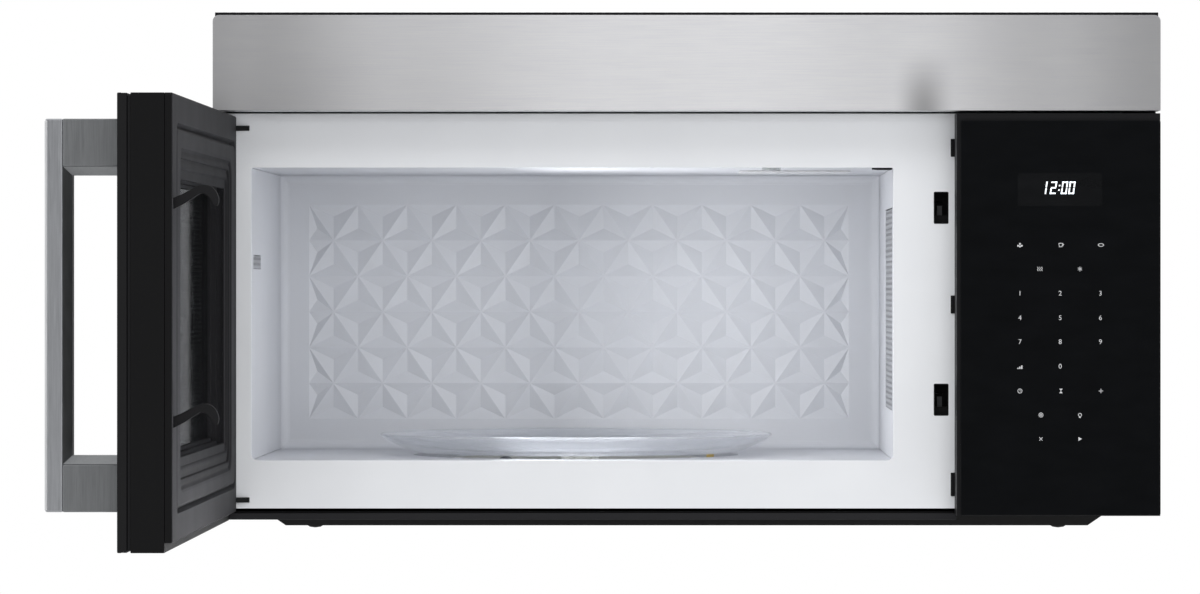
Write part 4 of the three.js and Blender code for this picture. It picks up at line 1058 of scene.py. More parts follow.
@dataclass
class Door:
    """The door, standing open at a right angle: its face, shell, inner cover, window, handle and latch.

    The door lies along Y: its hinge edge is at the high end and its free edge faces the camera. Its inner
    face looks towards +X.
    """

    closed_to_open: float = -746.7
    print_room: tuple[Point, Point] = ((-319.0, 135.0), (48.6, 272.6))
    groove: tuple[Point, Point] = ((-366.0, 177.0), (24.6, 297.6))
    recess: tuple[Point, Point] = ((-331.0, 147.0), (37.0, 283.6))
    glass_margin: float = 11.0
    screen_pitch: float = 4.2
    screen_hole: float = 1.35
    screen_room: Point = (60.0, 46.0)
    screen_lap: float = 2.0
    film_x: float = -380.8
    hinge_room: Triple = (17.0, 12.6, 9.6)
    grip_x: float = 13.2
    grip_h: Point = (57.0, 269.2)
    bevel: float = 6.2
    hook_spacing: float = 155.0
    hook: tuple[Point, ...] = (
        (-378.0, 238.6), (-362.9, 238.6), (-355.6, 242.4), (-347.7, 247.5), (-343.1, 249.6), (-338.6, 247.0),
        (-334.8, 242.0), (-332.6, 240.9), (-331.5, 242.8), (-331.4, 246.4), (-333.4, 251.4), (-337.5, 255.0),
        (-343.1, 255.5), (-348.8, 253.6), (-356.7, 249.4), (-362.9, 246.8), (-378.0, 246.8))
    hook_root: tuple[int, ...] = (0, 1, 15, 16)

    def opened(self, closed_x: Point, height: Point) -> tuple[Point, Point]:
        """The spans along Y and Z, with the door open, of a field given as X and height with it closed."""
        along = self.closed_to_open - closed_x[1], self.closed_to_open - closed_x[0]
        return along, (up(height[0]), up(height[1]))

    def build(self) -> None:
        """Makes the door's pieces."""
        self.glass()
        self.shell()
        self.cover()
        self.window()
        self.screen()
        self.handle()
        self.latch()

    def glass(self) -> None:
        """The front: a glass pane with ground edges on a dark carrier, and a tinted window print."""
        box = Span.of("door_glass")
        room = self.opened(*self.print_room)
        piece = Piece("door_front_glass")
        outline = rounded(box.y[0] + 0.5, box.y[1], *box.z, 1.5, 3)
        piece.add(plate(outline, Axis.X, box.x[0], box.x[0] + 3.2, [], 0.6, 2), BLACK_GLASS)
        carrier = rounded(box.y[0] + 0.6, box.y[1] - 0.2, box.z[0] + 0.2, box.z[1] - 0.2, 1.4, 3)
        piece.add(plate(carrier, Axis.X, box.x[0] + 3.2, box.x[1], [], 0.4, 2), BLACK_ABS)
        lip = rounded(box.y[0], box.y[0] + 1.0, box.z[0] + 0.8, box.z[1] - 0.8)
        piece.add(plate(lip, Axis.X, box.x[0] + 0.1, box.x[1] - 0.4, [], 0.3), LIP_ABS)
        piece.done("door", "door_glass")
        rim, pane = inset(*room, -1.2, 9.0), inset(*room, 0.0, 8.0)
        window = Piece("door_window_print")
        window.add(plate(rim, Axis.X, box.x[0] - 0.04, box.x[0] + 0.02, [pane], 0.0), SHEEN_GREY_ABS)
        window.add(plate(pane, Axis.X, box.x[0] - 0.03, box.x[0] + 0.02, [], 0.0), SMOKED_GLASS)
        window.done("door")

    def shell(self) -> None:
        """The moulded tub behind the glass: a rim round an open middle, with a seam next to the glass."""
        box = Span.of("door_shell")
        x0, x1 = box.x
        opening = inset(box.y, box.z, 22.0, 6.0)
        piece = Piece("door_shell_moulded")
        outline = rounded(*box.y, *box.z, 1.0, 3)
        piece.add(plate(outline, Axis.X, x0 + 2.2, x1, [opening], 0.5, 2), SHELL_ABS)
        seam = inset(box.y, box.z, 1.6, 1.0, 3)
        piece.add(plate(seam, Axis.X, x0 + 0.1, x0 + 2.4, [opening], 0.1), BLACK_ABS)
        piece.done("door", "door_shell")

    def loop(self, along: Point, height: Point, x: float, by: float, radius: float) -> list[Vector]:
        """A rounded rectangle round the inner face, as a ring of points.

        Args:
            along: its lowest and highest Y before it is drawn in.
            height: the same for Z.
            x: how far out it lies.
            by: how far it is drawn in on every side.
            radius: its corners' radius before that.
        """
        return [Vector((x, u, v)) * MM for u, v in inset(along, height, by, max(radius - by, 0.6), 5)]

    def cover(self) -> None:
        """The inner cover: a flat face with a pressed groove round it and steps down to the window."""
        box, glass = Span.of("door_inner_cover"), Span.of("door_inner_window")
        back, face = box.x
        outer, window = (box.y, box.z), (glass.y, glass.z)
        groove, recess = self.opened(*self.groove), self.opened(*self.recess)
        # Each row is a ring: whose outline it follows, its X, how far it is drawn in and its radius.
        rows = [
            (outer, back, 0.3, 2.0), (outer, face - 0.9, 0.3, 2.0), (outer, face - 0.25, 0.5, 2.0),
            (outer, face, 1.0, 2.0),
            (groove, face, -3.4, 9.0), (groove, face - 0.4, -3.0, 9.0), (groove, face - 3.6, -2.2, 9.0),
            (groove, face - 4.2, -1.0, 9.0), (groove, face - 3.6, 0.2, 9.0), (groove, face - 0.8, 1.0, 9.0),
            (groove, face - 0.2, 1.9, 9.0), (groove, face, 3.0, 9.0),
            (recess, face, -2.0, 16.0), (recess, face - 0.5, 0.0, 16.0), (recess, face - 1.9, 1.6, 16.0),
            (recess, face - 2.2, 3.0, 16.0), (recess, face - 1.5, 4.0, 16.0), (recess, face - 1.3, 5.4, 16.0),
            (recess, face - 1.6, 7.0, 16.0), (recess, face - 3.2, 7.8, 16.0), (recess, face - 3.4, 9.4, 16.0),
            (window, face - 2.6, 0.2, 9.0), (window, face - 2.4, 1.6, 9.0), (window, face - 2.8, 3.2, 10.0),
            (window, face - 4.0, 4.0, 11.0), (window, face - 4.1, self.glass_margin - 3.6, 12.0),
            (window, face - 4.3, self.glass_margin - 0.6, 12.0), (window, back, self.glass_margin, 12.0),
        ]
        rings = [self.loop(*room, x, by, radius) for room, x, by, radius in rows]
        piece = Piece("door_inner_cover_moulded")
        # The rim rows take the grey of painted sheen, the recess rows a darker painted shade.
        edge = next(i for i, row in enumerate(rows) if row[0] is recess) + 1
        piece.add(rings_mesh(rings[:edge + 1]), SHEEN_GREY_ABS)
        piece.add(rings_mesh([*rings[edge:], rings[0]]), RECESS_SHADE_ABS)
        band = rounded(*box.y, *box.z, 2.0, 3)
        inside = inset(box.y, box.z, 0.7, 1.5, 3)
        piece.add(plate(band, Axis.X, back, face - 0.5, [inside], 0.2), SHELL_ABS)
        piece.done("door", "door_inner_cover", angle=50.0)
        self.liner(window, back)

    def liner(self, window: tuple[Point, Point], x: float) -> None:
        """The stepped walls from the inner cover's window down to the screen.

        Args:
            window: the window's Y and Z spans.
            x: where the cover's back is.
        """
        steps = ((0.0, 8.4), (0.0, 9.6), (4.2, 9.8), (4.8, 12.2), (8.6, 12.4), (9.2, 14.6), (13.2, 14.8),
                 (14.0, 17.0), (15.6, 17.2), (15.6, 22.0))
        rings = [self.loop(*window, x - 0.35 - depth, by, 12.0) for depth, by in steps]
        piece = Piece("door_window_liner")
        piece.add(rings_mesh(rings), SHEEN_GREY_ABS)
        piece.done("door", angle=40.0)

    def window(self) -> None:
        """The thin inner window pane that shuts the steps off."""
        box = Span.of("door_inner_window")
        piece = Piece("door_inner_pane")
        pane = inset(box.y, box.z, 3.0, 9.0)
        piece.add(plate(pane, Axis.X, box.x[0] + 0.05, box.x[0] + 0.55, [], 0.1), BLOOMED_GLASS)
        piece.done("door", "door_inner_window")

    def screen(self) -> None:
        """The choke frame: a folded steel ring with the pierced screen and a smoked film across it."""
        box = Span.of("door_choke_frame")
        (y0, y1), (z0, z1), (side, end) = box.y, box.z, self.screen_room
        inner = rounded(y0 + side, y1 - side, z0 + end, z1 - end, 6.0)
        piece = Piece("door_choke_and_screen")
        piece.add(plate(self.ring(box, 0.0), Axis.X, box.x[0], box.x[0] + 1.2, [inner], 0.3), ZINC)
        wall = plate(self.ring(box, 0.1), Axis.X, box.x[0] + 1.0, box.x[1], [self.ring(box, 1.6)], 0.3)
        piece.add(wall, ZINC)
        side, end = side - self.screen_lap, end - self.screen_lap
        screen = pierced_sheet((y0 + side, y1 - side), (z0 + end, z1 - end), Axis.X, box.x[0] + 1.25,
                               box.x[0] + 1.75, self.screen_pitch, self.screen_hole)
        piece.add(screen, POWDER_COAT)
        window = Span.of("door_inner_window")
        film = Piece("door_screen_film")
        outline = rounded(*window.y, *window.z, 9.0)
        film.add(plate(outline, Axis.X, self.film_x, self.film_x + 0.4, [], 0.0), SCREEN_FILM)
        film.done("door")
        piece.done("door", "door_choke_frame")

    def ring(self, box: Span, by: float) -> Outline:
        """The choke frame's outline, with room for the two hinges at its inner corners.

        Args:
            box: the frame's box.
            by: how far inside the box the outline runs.
        """
        (y0, y1), (z0, z1) = box.y, box.z
        step, low, high = y1 - self.hinge_room[0], z0 + self.hinge_room[1], z1 - self.hinge_room[2]
        y0, z0, low = y0 + by, z0 + by, low + by
        y1, z1, step, high = y1 - by, z1 - by, step - by, high - by
        return [(y0, z0), (step, z0), (step, low), (y1, low), (y1, high), (step, high), (step, z1), (y0, z1)]

    def handle(self) -> None:
        """The pull: one folded plate round a grip window, with a bevel inside it; the bar, the arms and the
        bevel take lit and shaded copies of one steel, painted light and shade.
        """
        box = Span.of("door_handle")
        size = self.bevel
        (x0, x1), (y0, y1), (low, high) = (box.x[0] + self.grip_x, box.x[1]), box.y, map(up, self.grip_h)
        piece = Piece("door_handle_folded")
        bar = rounded(box.x[0] + 0.5, x0, *box.z, 1.4, 3)
        piece.add(plate(bar, Axis.Y, y0, y1, [], 1.1, 3), HANDLE_BAR)
        rim = rounded(box.x[0], box.x[0] + 2.4, box.z[0] + 1.0, box.z[1] - 1.0, 1.1, 3)
        piece.add(plate(rim, Axis.Y, y0 - 0.15, y1 + 0.15, [], 0.9, 3), STAINLESS_EDGE)
        for arm in ((box.z[0], low), (high, box.z[1])):
            piece.add(block((x0 - 0.2, x1), box.y, arm, 0.9, 3), HANDLE_ARM_PAINTED_SHADE)
        for y_face, y_deep in ((y0, y0 + size), (y1, y1 - size)):
            piece.add(self.slope((x0, x1), (low, high), y_face, y_deep), HANDLE_BEVEL_LIGHT_AND_SHADE)
        middle = (y0 + size, y1 - size)
        for x, z in (((x0 - 0.1, x0 + size), (low, high)), ((x0, x1), (low - 0.1, low + size)),
                     ((x0, x1), (high - size, high + 0.1))):
            piece.add(block(x, middle, z, 0.0), HANDLE_BEVEL_LIGHT_AND_SHADE)
        piece.done("door", "door_handle")

    def slope(self, x: Point, z: Point, y_face: float, y_deep: float) -> bpy.types.Mesh:
        """The slope from the handle's face down to the edge of its grip window, on three sides."""
        face = [(x[1], z[0]), (x[0], z[0]), (x[0], z[1]), (x[1], z[1])]
        left, low, high = x[0] + self.bevel, z[0] + self.bevel, z[1] - self.bevel
        deep = [(x[1], low), (left, low), (left, high), (x[1], high)]
        rings = [[Vector((u, y, v)) * MM for u, v in loop]
                 for loop, y in ((face, y_face), (deep, y_deep), (face, y_deep))]
        return rings_mesh(rings, loop=True)

    def latch(self) -> None:
        """The latch bar with its two S-shaped hooks."""
        box = Span.of("latch_bar")
        piece = Piece("latch_bar_and_hooks")
        for drop in (0.0, self.hook_spacing):
            outline = smooth_loop([(x, up(h - drop)) for x, h in self.hook], 4, keep=self.hook_root)
            piece.add(plate(outline, Axis.Y, *box.y, [], 0.5, 2), BLACK_ABS)
        piece.add(block((box.x[0], box.x[0] + 8.6), box.y, box.z, 0.5), BLACK_ABS)
        piece.done("latch", "latch_bar")


# ---- The vent grille and the control panel ----


@dataclass
class Grille:
    """The brushed steel grille over the front and the black comb of louvres behind its top edge."""

    corner: float = 5.0
    fold: float = 1.2
    teeth: int = 104
    end_gap: float = 6.0

    def build(self) -> None:
        """Makes the folded sheet and the comb."""
        box = Span.of("vent_grille")
        low, high = box.z
        outline = two_rounded(box.x, box.z, 0.8, self.corner)
        piece = Piece("vent_grille_folded")
        front = box.y[0]
        piece.add(plate(outline, Axis.Y, front, front + self.fold, [], 0.55, 3), STAINLESS)
        for x in ((box.x[0], box.x[0] + self.fold), (box.x[1] - self.fold, box.x[1])):
            piece.add(block(x, (front + 0.6, box.y[1]), (low, high - self.corner), 0.3), STAINLESS_EDGE)
        piece.add(block(box.x, (front + 0.6, box.y[1]), (low, low + self.fold), 0.3), STAINLESS_EDGE)
        piece.done("cabinet", "vent_grille")
        self.comb()

    def comb(self) -> None:
        """Fine ribs along the front edge of the louvres, which read as a dashed black line from the front."""
        box = Span.of("grille_louver_frame")
        piece = Piece("grille_comb")
        add_ribs(piece, self.teeth, box.x, self.end_gap, 0.55, (box.y[0] - 1.2, box.y[0] + 3.0),
                 (box.z[1] - 1.9, box.z[1]), 0.25, BLACK_ABS)
        piece.done("cabinet")


@dataclass
class ControlPanel:
    """The glass control panel: its pane, the lit clock behind a dark window and the printed keys."""

    pane_corner: float = 1.5
    window_x: Point = (265.2, 332.5)
    window_h: Point = (248.2, 274.6)
    pixels_per_mm: float = 1.2495
    centre_pixel: Point = (686.6, 288.0)
    centre_height: float = 182.6
    digit_size: float = 5.4
    ink: float = 0.06
    segment: Triple = (4.7, 10.0, 1.15)
    lean: float = 0.14
    digit_starts: tuple[float, ...] = (-3.0, 4.6, 11.0, 13.4, 19.3)
    clock_pixel: Point = (1044.0, 194.0)
    clip_h: tuple[Point, ...] = ((288.5, 303.0), (162.0, 176.5), (14.5, 33.5))

    def build(self) -> None:
        """Makes the pane, the clock, the key prints and the clips."""
        box = Span.of("control_glass")
        face = box.y[0]
        pane = Piece("control_pane")
        outline = rounded(*box.x, *box.z, self.pane_corner, 3)
        pane.add(plate(outline, Axis.Y, face, box.y[1], [], 0.6, 2), BLACK_GLASS)
        pane.done("cabinet", "control_glass")
        window = Piece("control_display_window")
        outline = rounded(*self.window_x, up(self.window_h[0]), up(self.window_h[1]), 1.5, 3)
        window.add(plate(outline, Axis.Y, face - 0.03, face + 0.02, [], 0.0), DISPLAY_FILTER)
        window.done("cabinet")
        self.clock(face)
        self.keys(face)
        self.clips()

    def place(self, x: float, y: float) -> Point:
        """Turns a place on the printed layout into X and height, in millimetres in the row's frame."""
        return ((x - self.centre_pixel[0]) / self.pixels_per_mm,
                up(self.centre_height + (self.centre_pixel[1] - y) / self.pixels_per_mm))

    def clock(self, face: float) -> None:
        """Twelve o'clock in leaning seven-segment digits."""
        lit = {"1": "bc", "2": "abged", "0": "abcdef"}
        width, height, thick = self.segment
        half = height / 2
        left, base = self.place(*self.clock_pixel)
        segments = {
            "a": ((0.0, height - thick), (width, height)), "d": ((0.0, 0.0), (width, thick)),
            "g": ((0.3, half - thick / 2), (width - 0.3, half + thick / 2)),
            "f": ((0.0, half + 0.3), (thick, height)), "e": ((0.0, 0.0), (thick, half - 0.3)),
            "b": ((width - thick, half + 0.3), (width, height)),
            "c": ((width - thick, 0.0), (width, half - 0.3)),
        }
        dots = [((0.0, h), (thick, h + thick)) for h in (2.6, 6.2)]
        clock = Piece("clock_segments")
        for start, digit in zip(self.digit_starts, "12:00"):
            for (a, b), (c, d) in [segments[s] for s in lit[digit]] if digit in lit else dots:
                corners = (a, b), (c, b), (c, d), (a, d)
                outline = [(left + start + x + self.lean * y, base + y) for x, y in corners]
                clock.add(plate(outline, Axis.Y, face - 0.08, face - 0.04, [], 0.0), SEGMENTS)
        clock.done("cabinet")

    def keys(self, face: float) -> None:
        """Plain digits and small pictograms, one for each key."""
        marks = Piece("key_prints")
        for text, x, y in DIGIT_KEYS:
            marks.add(self.text(text, *self.place(x, y), face), INK)
        for sign, x, y in SIGN_KEYS:
            cx, cz = self.place(x, y)
            for outline, holes in sign.value:
                moved = [[(cx + u, cz + v) for u, v in loop] for loop in (outline, *holes)]
                marks.add(plate(moved[0], Axis.Y, face - self.ink, face + 0.01, moved[1:], 0.0), INK)
        marks.done("cabinet")

    def text(self, text: str, x: float, z: float, face: float) -> bpy.types.Mesh:
        """A character as a flat mesh, centred on its place."""
        curve = bpy.data.curves.new("character", "FONT")
        curve.body = text
        curve.size = self.digit_size * MM
        curve.align_x, curve.align_y = "CENTER", "CENTER"
        mesh = mesh_of_curve(curve)
        mesh.transform(Matrix.Translation((x * MM, (face - self.ink) * MM, z * MM)) @ Axis.Y.matrix(0.0))
        return mesh

    def clips(self) -> None:
        """Three small black tabs that hook the panel's edge to the white front."""
        left = Span.of("control_bezel").x[0]
        front = Span.of("front_frame").y[0]
        tabs = Piece("panel_clips")
        for low, high in self.clip_h:
            tab = block((left - 3.2, left + 0.5), (front - 1.4, front - 0.1), (up(low), up(high)), 0.4)
            tabs.add(tab, BLACK_ABS)
        tabs.done("cabinet")


Mark = tuple[Outline, list[Outline]]


def ring_outline(radius: float, line: float, steps: int = 20) -> Mark:
    """A circle drawn with a line of some width: its outline and its hole."""
    return circle(0, 0, radius, steps), [circle(0, 0, radius - line, steps)]


def oval(width: float, height: float, steps: int = 20, turn: float = 0.314) -> Outline:
    """An ellipse's outline from its half width and half height, with a point at every turn."""
    return [(width * math.cos(i * turn), height * math.sin(i * turn)) for i in range(steps)]


def stroke(x0: float, y0: float, x1: float, y1: float, line: float) -> Mark:
    """A straight line of some width between two places."""
    length = math.hypot(x1 - x0, y1 - y0)
    a, b = -(y1 - y0) / length * line / 2, (x1 - x0) / length * line / 2
    return [(x0 - a, y0 - b), (x1 - a, y1 - b), (x1 + a, y1 + b), (x0 + a, y0 + b)], []


def star(count: int, radius: float, line: float) -> tuple[Mark, ...]:
    """Lines that cross in one middle."""
    turns = [math.pi * (i / count + 0.5) for i in range(count)]
    ends = [(radius * math.cos(a), radius * math.sin(a)) for a in turns]
    return tuple(stroke(-x, -y, x, y, line) for x, y in ends)


class Sign(Enum):
    """Generic key pictograms, in millimetres round their middle."""

    BURST = tuple((circle(x, y, 0.8, 10), [])
                  for x, y in ((-1.5, -0.6), (0.0, 0.9), (1.5, -0.6), (0.0, -1.1)))
    CUP = (([(-1.9, 1.6), (-1.5, -1.6), (1.1, -1.6), (1.5, 1.6)],
            [[(-1.4, 1.1), (-1.1, -1.1), (0.7, -1.1), (1.0, 1.1)]]),
           stroke(1.5, 0.8, 2.4, 0.6, 0.5), stroke(2.4, 0.7, 1.4, -0.7, 0.5))
    OVAL = ((oval(2.4, 1.4), [oval(1.8, 0.9)]),)
    WAVES = tuple(stroke(x + d, y, x - d, y + 1.1, 0.5) for x in (-1.6, 0.0, 1.6)
                  for y, d in ((-1.6, 0.35), (-0.5, -0.35), (0.6, 0.35)))
    FLAKE = star(3, 1.9, 0.45)
    BARS = tuple((rounded(-2.1 + 1.5 * i, -1.0 + 1.5 * i, -1.6, -0.6 + 0.9 * i), []) for i in range(3))
    CLOCK = (ring_outline(1.9, 0.45), stroke(0, 0, 0, 1.3, 0.4), stroke(0, 0, 1.0, 0, 0.4))
    GLASS = (([(-1.4, 1.8), (0.0, 0.0), (1.4, 1.8)], []),
             ([(-1.4, -1.8), (1.4, -1.8), (0.0, 0.0)], []))
    PLUS = star(2, 1.7, 0.5)
    FAN = (ring_outline(1.9, 0.4), *star(3, 1.5, 0.4))
    BULB = (ring_outline(1.5, 0.45), (rounded(-0.7, 0.7, -2.4, -1.6), []))
    CROSS = (stroke(-1.3, -1.3, 1.3, 1.3, 0.5), stroke(-1.3, 1.3, 1.3, -1.3, 0.5))
    START = (([(-1.2, -1.6), (1.7, 0.0), (-1.2, 1.6)], []),)


# What each key shows, and its place on the printed layout.
DIGIT_KEYS = (
    ("1", 1020.0, 293.5), ("2", 1060.3, 293.5), ("3", 1100.5, 293.5),
    ("4", 1020.0, 318.0), ("5", 1060.3, 318.0), ("6", 1100.5, 318.0),
    ("7", 1020.0, 342.0), ("8", 1060.3, 342.0), ("9", 1100.5, 342.0),
    ("0", 1060.3, 366.5),
)
SIGN_KEYS = (
    (Sign.BURST, 1020.0, 245.0), (Sign.CUP, 1061.0, 245.0), (Sign.OVAL, 1101.0, 245.0),
    (Sign.WAVES, 1040.0, 269.0), (Sign.FLAKE, 1080.0, 269.0), (Sign.BARS, 1020.0, 367.0),
    (Sign.CLOCK, 1020.0, 391.0), (Sign.GLASS, 1061.0, 391.0), (Sign.PLUS, 1101.0, 391.0),
    (Sign.FAN, 1041.0, 415.0), (Sign.BULB, 1080.0, 415.0),
    (Sign.CROSS, 1041.0, 439.0), (Sign.START, 1080.0, 439.0),
)


# ---- The turntable ----


@dataclass
class Turntable:
    """The pressed glass tray, the roller ring and its three rollers."""

    moulded_rings: tuple[float, ...] = (60.0, 92.0)
    thick: float = 4.0
    flat: float = 122.0
    wheel_half: float = 3.4
    wheel_bore: float = 2.1

    def build(self) -> None:
        """Makes the tray and the rollers."""
        box = Span.of("glass_tray")
        radius = (box.x[1] - box.x[0]) / 2
        centre = (sum(box.x) / 2, sum(box.y) / 2, box.z[0])
        thick, flat, high = self.thick, self.flat, box.z[1] - box.z[0]
        profile = [(0.0, 0.0)]
        for ring in self.moulded_rings:
            profile += [(ring - 1.6, 0.0), (ring - 0.8, 0.45), (ring + 0.8, 0.45), (ring + 1.6, 0.0)]
        profile += [(flat, 0.0)]
        profile += [(radius - back, height) for back, height in (
            (32, 0.3), (27, 1.2), (22, 2.9), (10, 8.4), (4, high - 5.0), (1.2, high - 2.9), (0.1, high - 1.8),
            (0, high - 1.2), (0.4, high - 0.4), (1.2, high), (2.6, high - 0.1), (3.6, high - 0.7),
            (7, high - 3.4), (14, 9.8), (23, 6.6), (29, thick + 0.8), (34, thick))]
        profile += [(flat - 30, thick), (0.0, thick)]
        tray = Piece("turntable_tray")
        tray.add(lathe(profile, centre, steps=96), TRAY_GLASS)
        tray.done("tray", "glass_tray", angle=25.0)
        self.roller(0, "roller_a", AMBER_NYLON)
        self.roller(1, "roller_b", NYLON)
        self.roller(2, "roller_c", DARK_NYLON)

    def roller(self, number: int, body: str, finish: Finish) -> None:
        """One roller: a wheel with a crowned tread, a recessed face and a hub."""
        node = f"roller_{number + 1}"
        box = Span.of(node)
        middle = tuple(sum(span) / 2 for span in (box.x, box.y, box.z))
        radius = (box.z[1] - box.z[0]) / 2
        half, bore = self.wheel_half, self.wheel_bore
        side = [(3.4, half), (3.6, half - 0.9), (5.2, half - 0.9), (5.5, half - 0.2),
                (radius - 0.7, half - 0.2), (radius - 0.1, half - 0.9)]
        profile = [(bore, -half), *((r, -h) for r, h in side), (radius, 0.0), *side[::-1], (bore, half)]
        turn = Matrix.Translation(Vector(middle) * MM) @ Matrix.Rotation(2 * math.pi * number / 3, 4, "Z")
        piece = Piece(node + "_wheel")
        piece.add(lathe(profile, (0.0, 0.0, 0.0), Axis.X, 32), finish, turn)
        piece.done(body, node)


# ---- The casing and the underside ----


def add_screw(piece: Piece, centre: Triple, out: Triple, radius: float = 3.4, high: float = 0.5) -> None:
    """Adds a black flat-headed cross-recess screw.

    Args:
        piece: the piece it goes on.
        centre: the middle of its seat, in millimetres.
        out: the way its head looks.
        radius: the head's radius.
        high: how far the head stands off its seat.
    """
    profile = [(0.0, 0.0), (radius, 0.0), (radius, high * 0.5), (radius * 0.86, high), (0.0, high)]
    aim = Vector(out).to_track_quat("Z", "Y").to_matrix().to_4x4()
    turn = Matrix.Translation(Vector(centre) * MM) @ aim
    piece.add(lathe(profile, (0.0, 0.0, 0.0), steps=20), BLACK_SCREW, turn)
    # The cross recess is a darker mark standing on the head, not cut into it: painted shade in place of the
    # recess.
    for along, across in ((radius * 0.55, radius * 0.13), (radius * 0.13, radius * 0.55)):
        mark = block((-along, along), (-across, across), (high - 0.1, high + 0.03), 0.0)
        piece.add(mark, BLACK_ABS, turn)


@dataclass
class Casing:
    """The painted wrap over the top and the sides, and the zinc panel behind.

    A ladder of slots is given as its side, how far above the wrap's edge it starts, and its slots.
    """

    sheet: float = 1.0
    slot: Point = (34.0, 4.0)
    slot_gap: float = 9.0
    ladder_y: float = 44.0
    ladders: tuple[tuple[int, float, int], ...] = ((-1, 210.0, 10), (1, 26.0, 12))
    duct_x: float = 127.0
    duct_y: Point = (-105.0, -21.0)
    bolt: Point = (250.0, -200.0)
    bolt_radius: float = 5.2
    hook_x: float = 290.0
    hook_half: float = 17.0
    hook_h: Point = (34.0, 44.0)
    gland: Triple = (330.0, 372.0, 9.4)
    rear_ladder_x: tuple[float, ...] = (-250.0, 232.0)
    rear_ladder: tuple[float, int] = (210.0, 9)
    rib_x: tuple[float, ...] = (-200.0, -60.0, 60.0, 200.0)
    rib_h: Point = (66.0, 196.0)

    def build(self) -> None:
        """Makes both."""
        self.wrap()
        self.rear()

    def slots(self, middle: float, low: float, count: int) -> list[Outline]:
        """A ladder of rounded vent slots, one above the other.

        Args:
            middle: the ladder's middle across.
            low: the lower edge of its lowest slot.
            count: how many slots.
        """
        half = self.slot[0] / 2
        lows = [low + i * self.slot_gap for i in range(count)]
        return [rounded(middle - half, middle + half, z, z + self.slot[1], 1.9, 4) for z in lows]

    def wrap(self) -> None:
        """Two side walls with vent slots and a top with the duct's outlet and two bolt holes."""
        box = Span.of("outer_wrap")
        (x0, x1), (y0, y1), (z0, z1) = box.x, box.y, box.z
        piece = Piece("outer_wrap_folded")
        for side, start, count in self.ladders:
            face = x1 * side
            span = sorted((face, face - side * self.sheet))
            vents = self.slots(y1 - self.ladder_y, z0 + start, count)
            piece.add(plate(rounded(y0, y1, z0, z1 - 0.3, 0.8, 2), Axis.X, *span, vents, 0.25), POWDER_COAT)
            for y in (y0 + 14.0, y1 - 14.0):
                for z in (z0 + 22.0, (z0 + z1) / 2, z1 - 26.0):
                    add_screw(piece, (face, y, z), (side, 0, 0))
        holes = [rounded(-self.duct_x, self.duct_x, *self.duct_y, 3.0, 3)]
        holes += [circle(side * self.bolt[0], self.bolt[1], self.bolt_radius) for side in (-1, 1)]
        top = plate(rounded(x0 + 0.3, x1 - 0.3, y0, y1, 0.8, 2), Axis.Z, z1 - self.sheet, z1, holes, 0.25)
        piece.add(top, POWDER_COAT)
        for x in (-self.duct_x - 9.0, self.duct_x + 9.0):
            for y in (self.duct_y[0] + 7.0, self.duct_y[1] - 7.0):
                add_screw(piece, (x, y, z1), (0, 0, 1), 3.0, 0.3)
        piece.done("cabinet", "outer_wrap")

    def rear(self) -> None:
        """The zinc panel with its hook slots, the gland's hole, vent ladders and pressed stiffening ribs."""
        box = Span.of("rear_panel")
        x, height, radius = self.gland
        holes = [rounded(side * self.hook_x - self.hook_half, side * self.hook_x + self.hook_half,
                         *map(up, self.hook_h), 1.2, 3) for side in (-1, 1)]
        holes.append(circle(x, up(height), radius, 28))
        start, count = self.rear_ladder
        for middle in self.rear_ladder_x:
            holes += self.slots(middle, up(0.0) + start, count)
        low, high = map(up, self.rib_h)
        ribs = [rounded(x - 5.0, x + 5.0, low, high, 4.9, 6) for x in self.rib_x]
        piece = Piece("rear_panel_pressed")
        piece.add(plate(rounded(*box.x, *box.z, 1.0, 2), Axis.Y, *box.y, [*holes, *ribs], 0.3), ZINC)
        for x in self.rib_x:
            rib = rounded(x - 6.0, x + 6.0, low - 1.0, high + 1.0, 5.6, 6)
            piece.add(plate(rib, Axis.Y, box.y[0] - 1.2, box.y[0] - 0.1, [], 0.4), ZINC)
        piece.done("cabinet", "rear_panel")


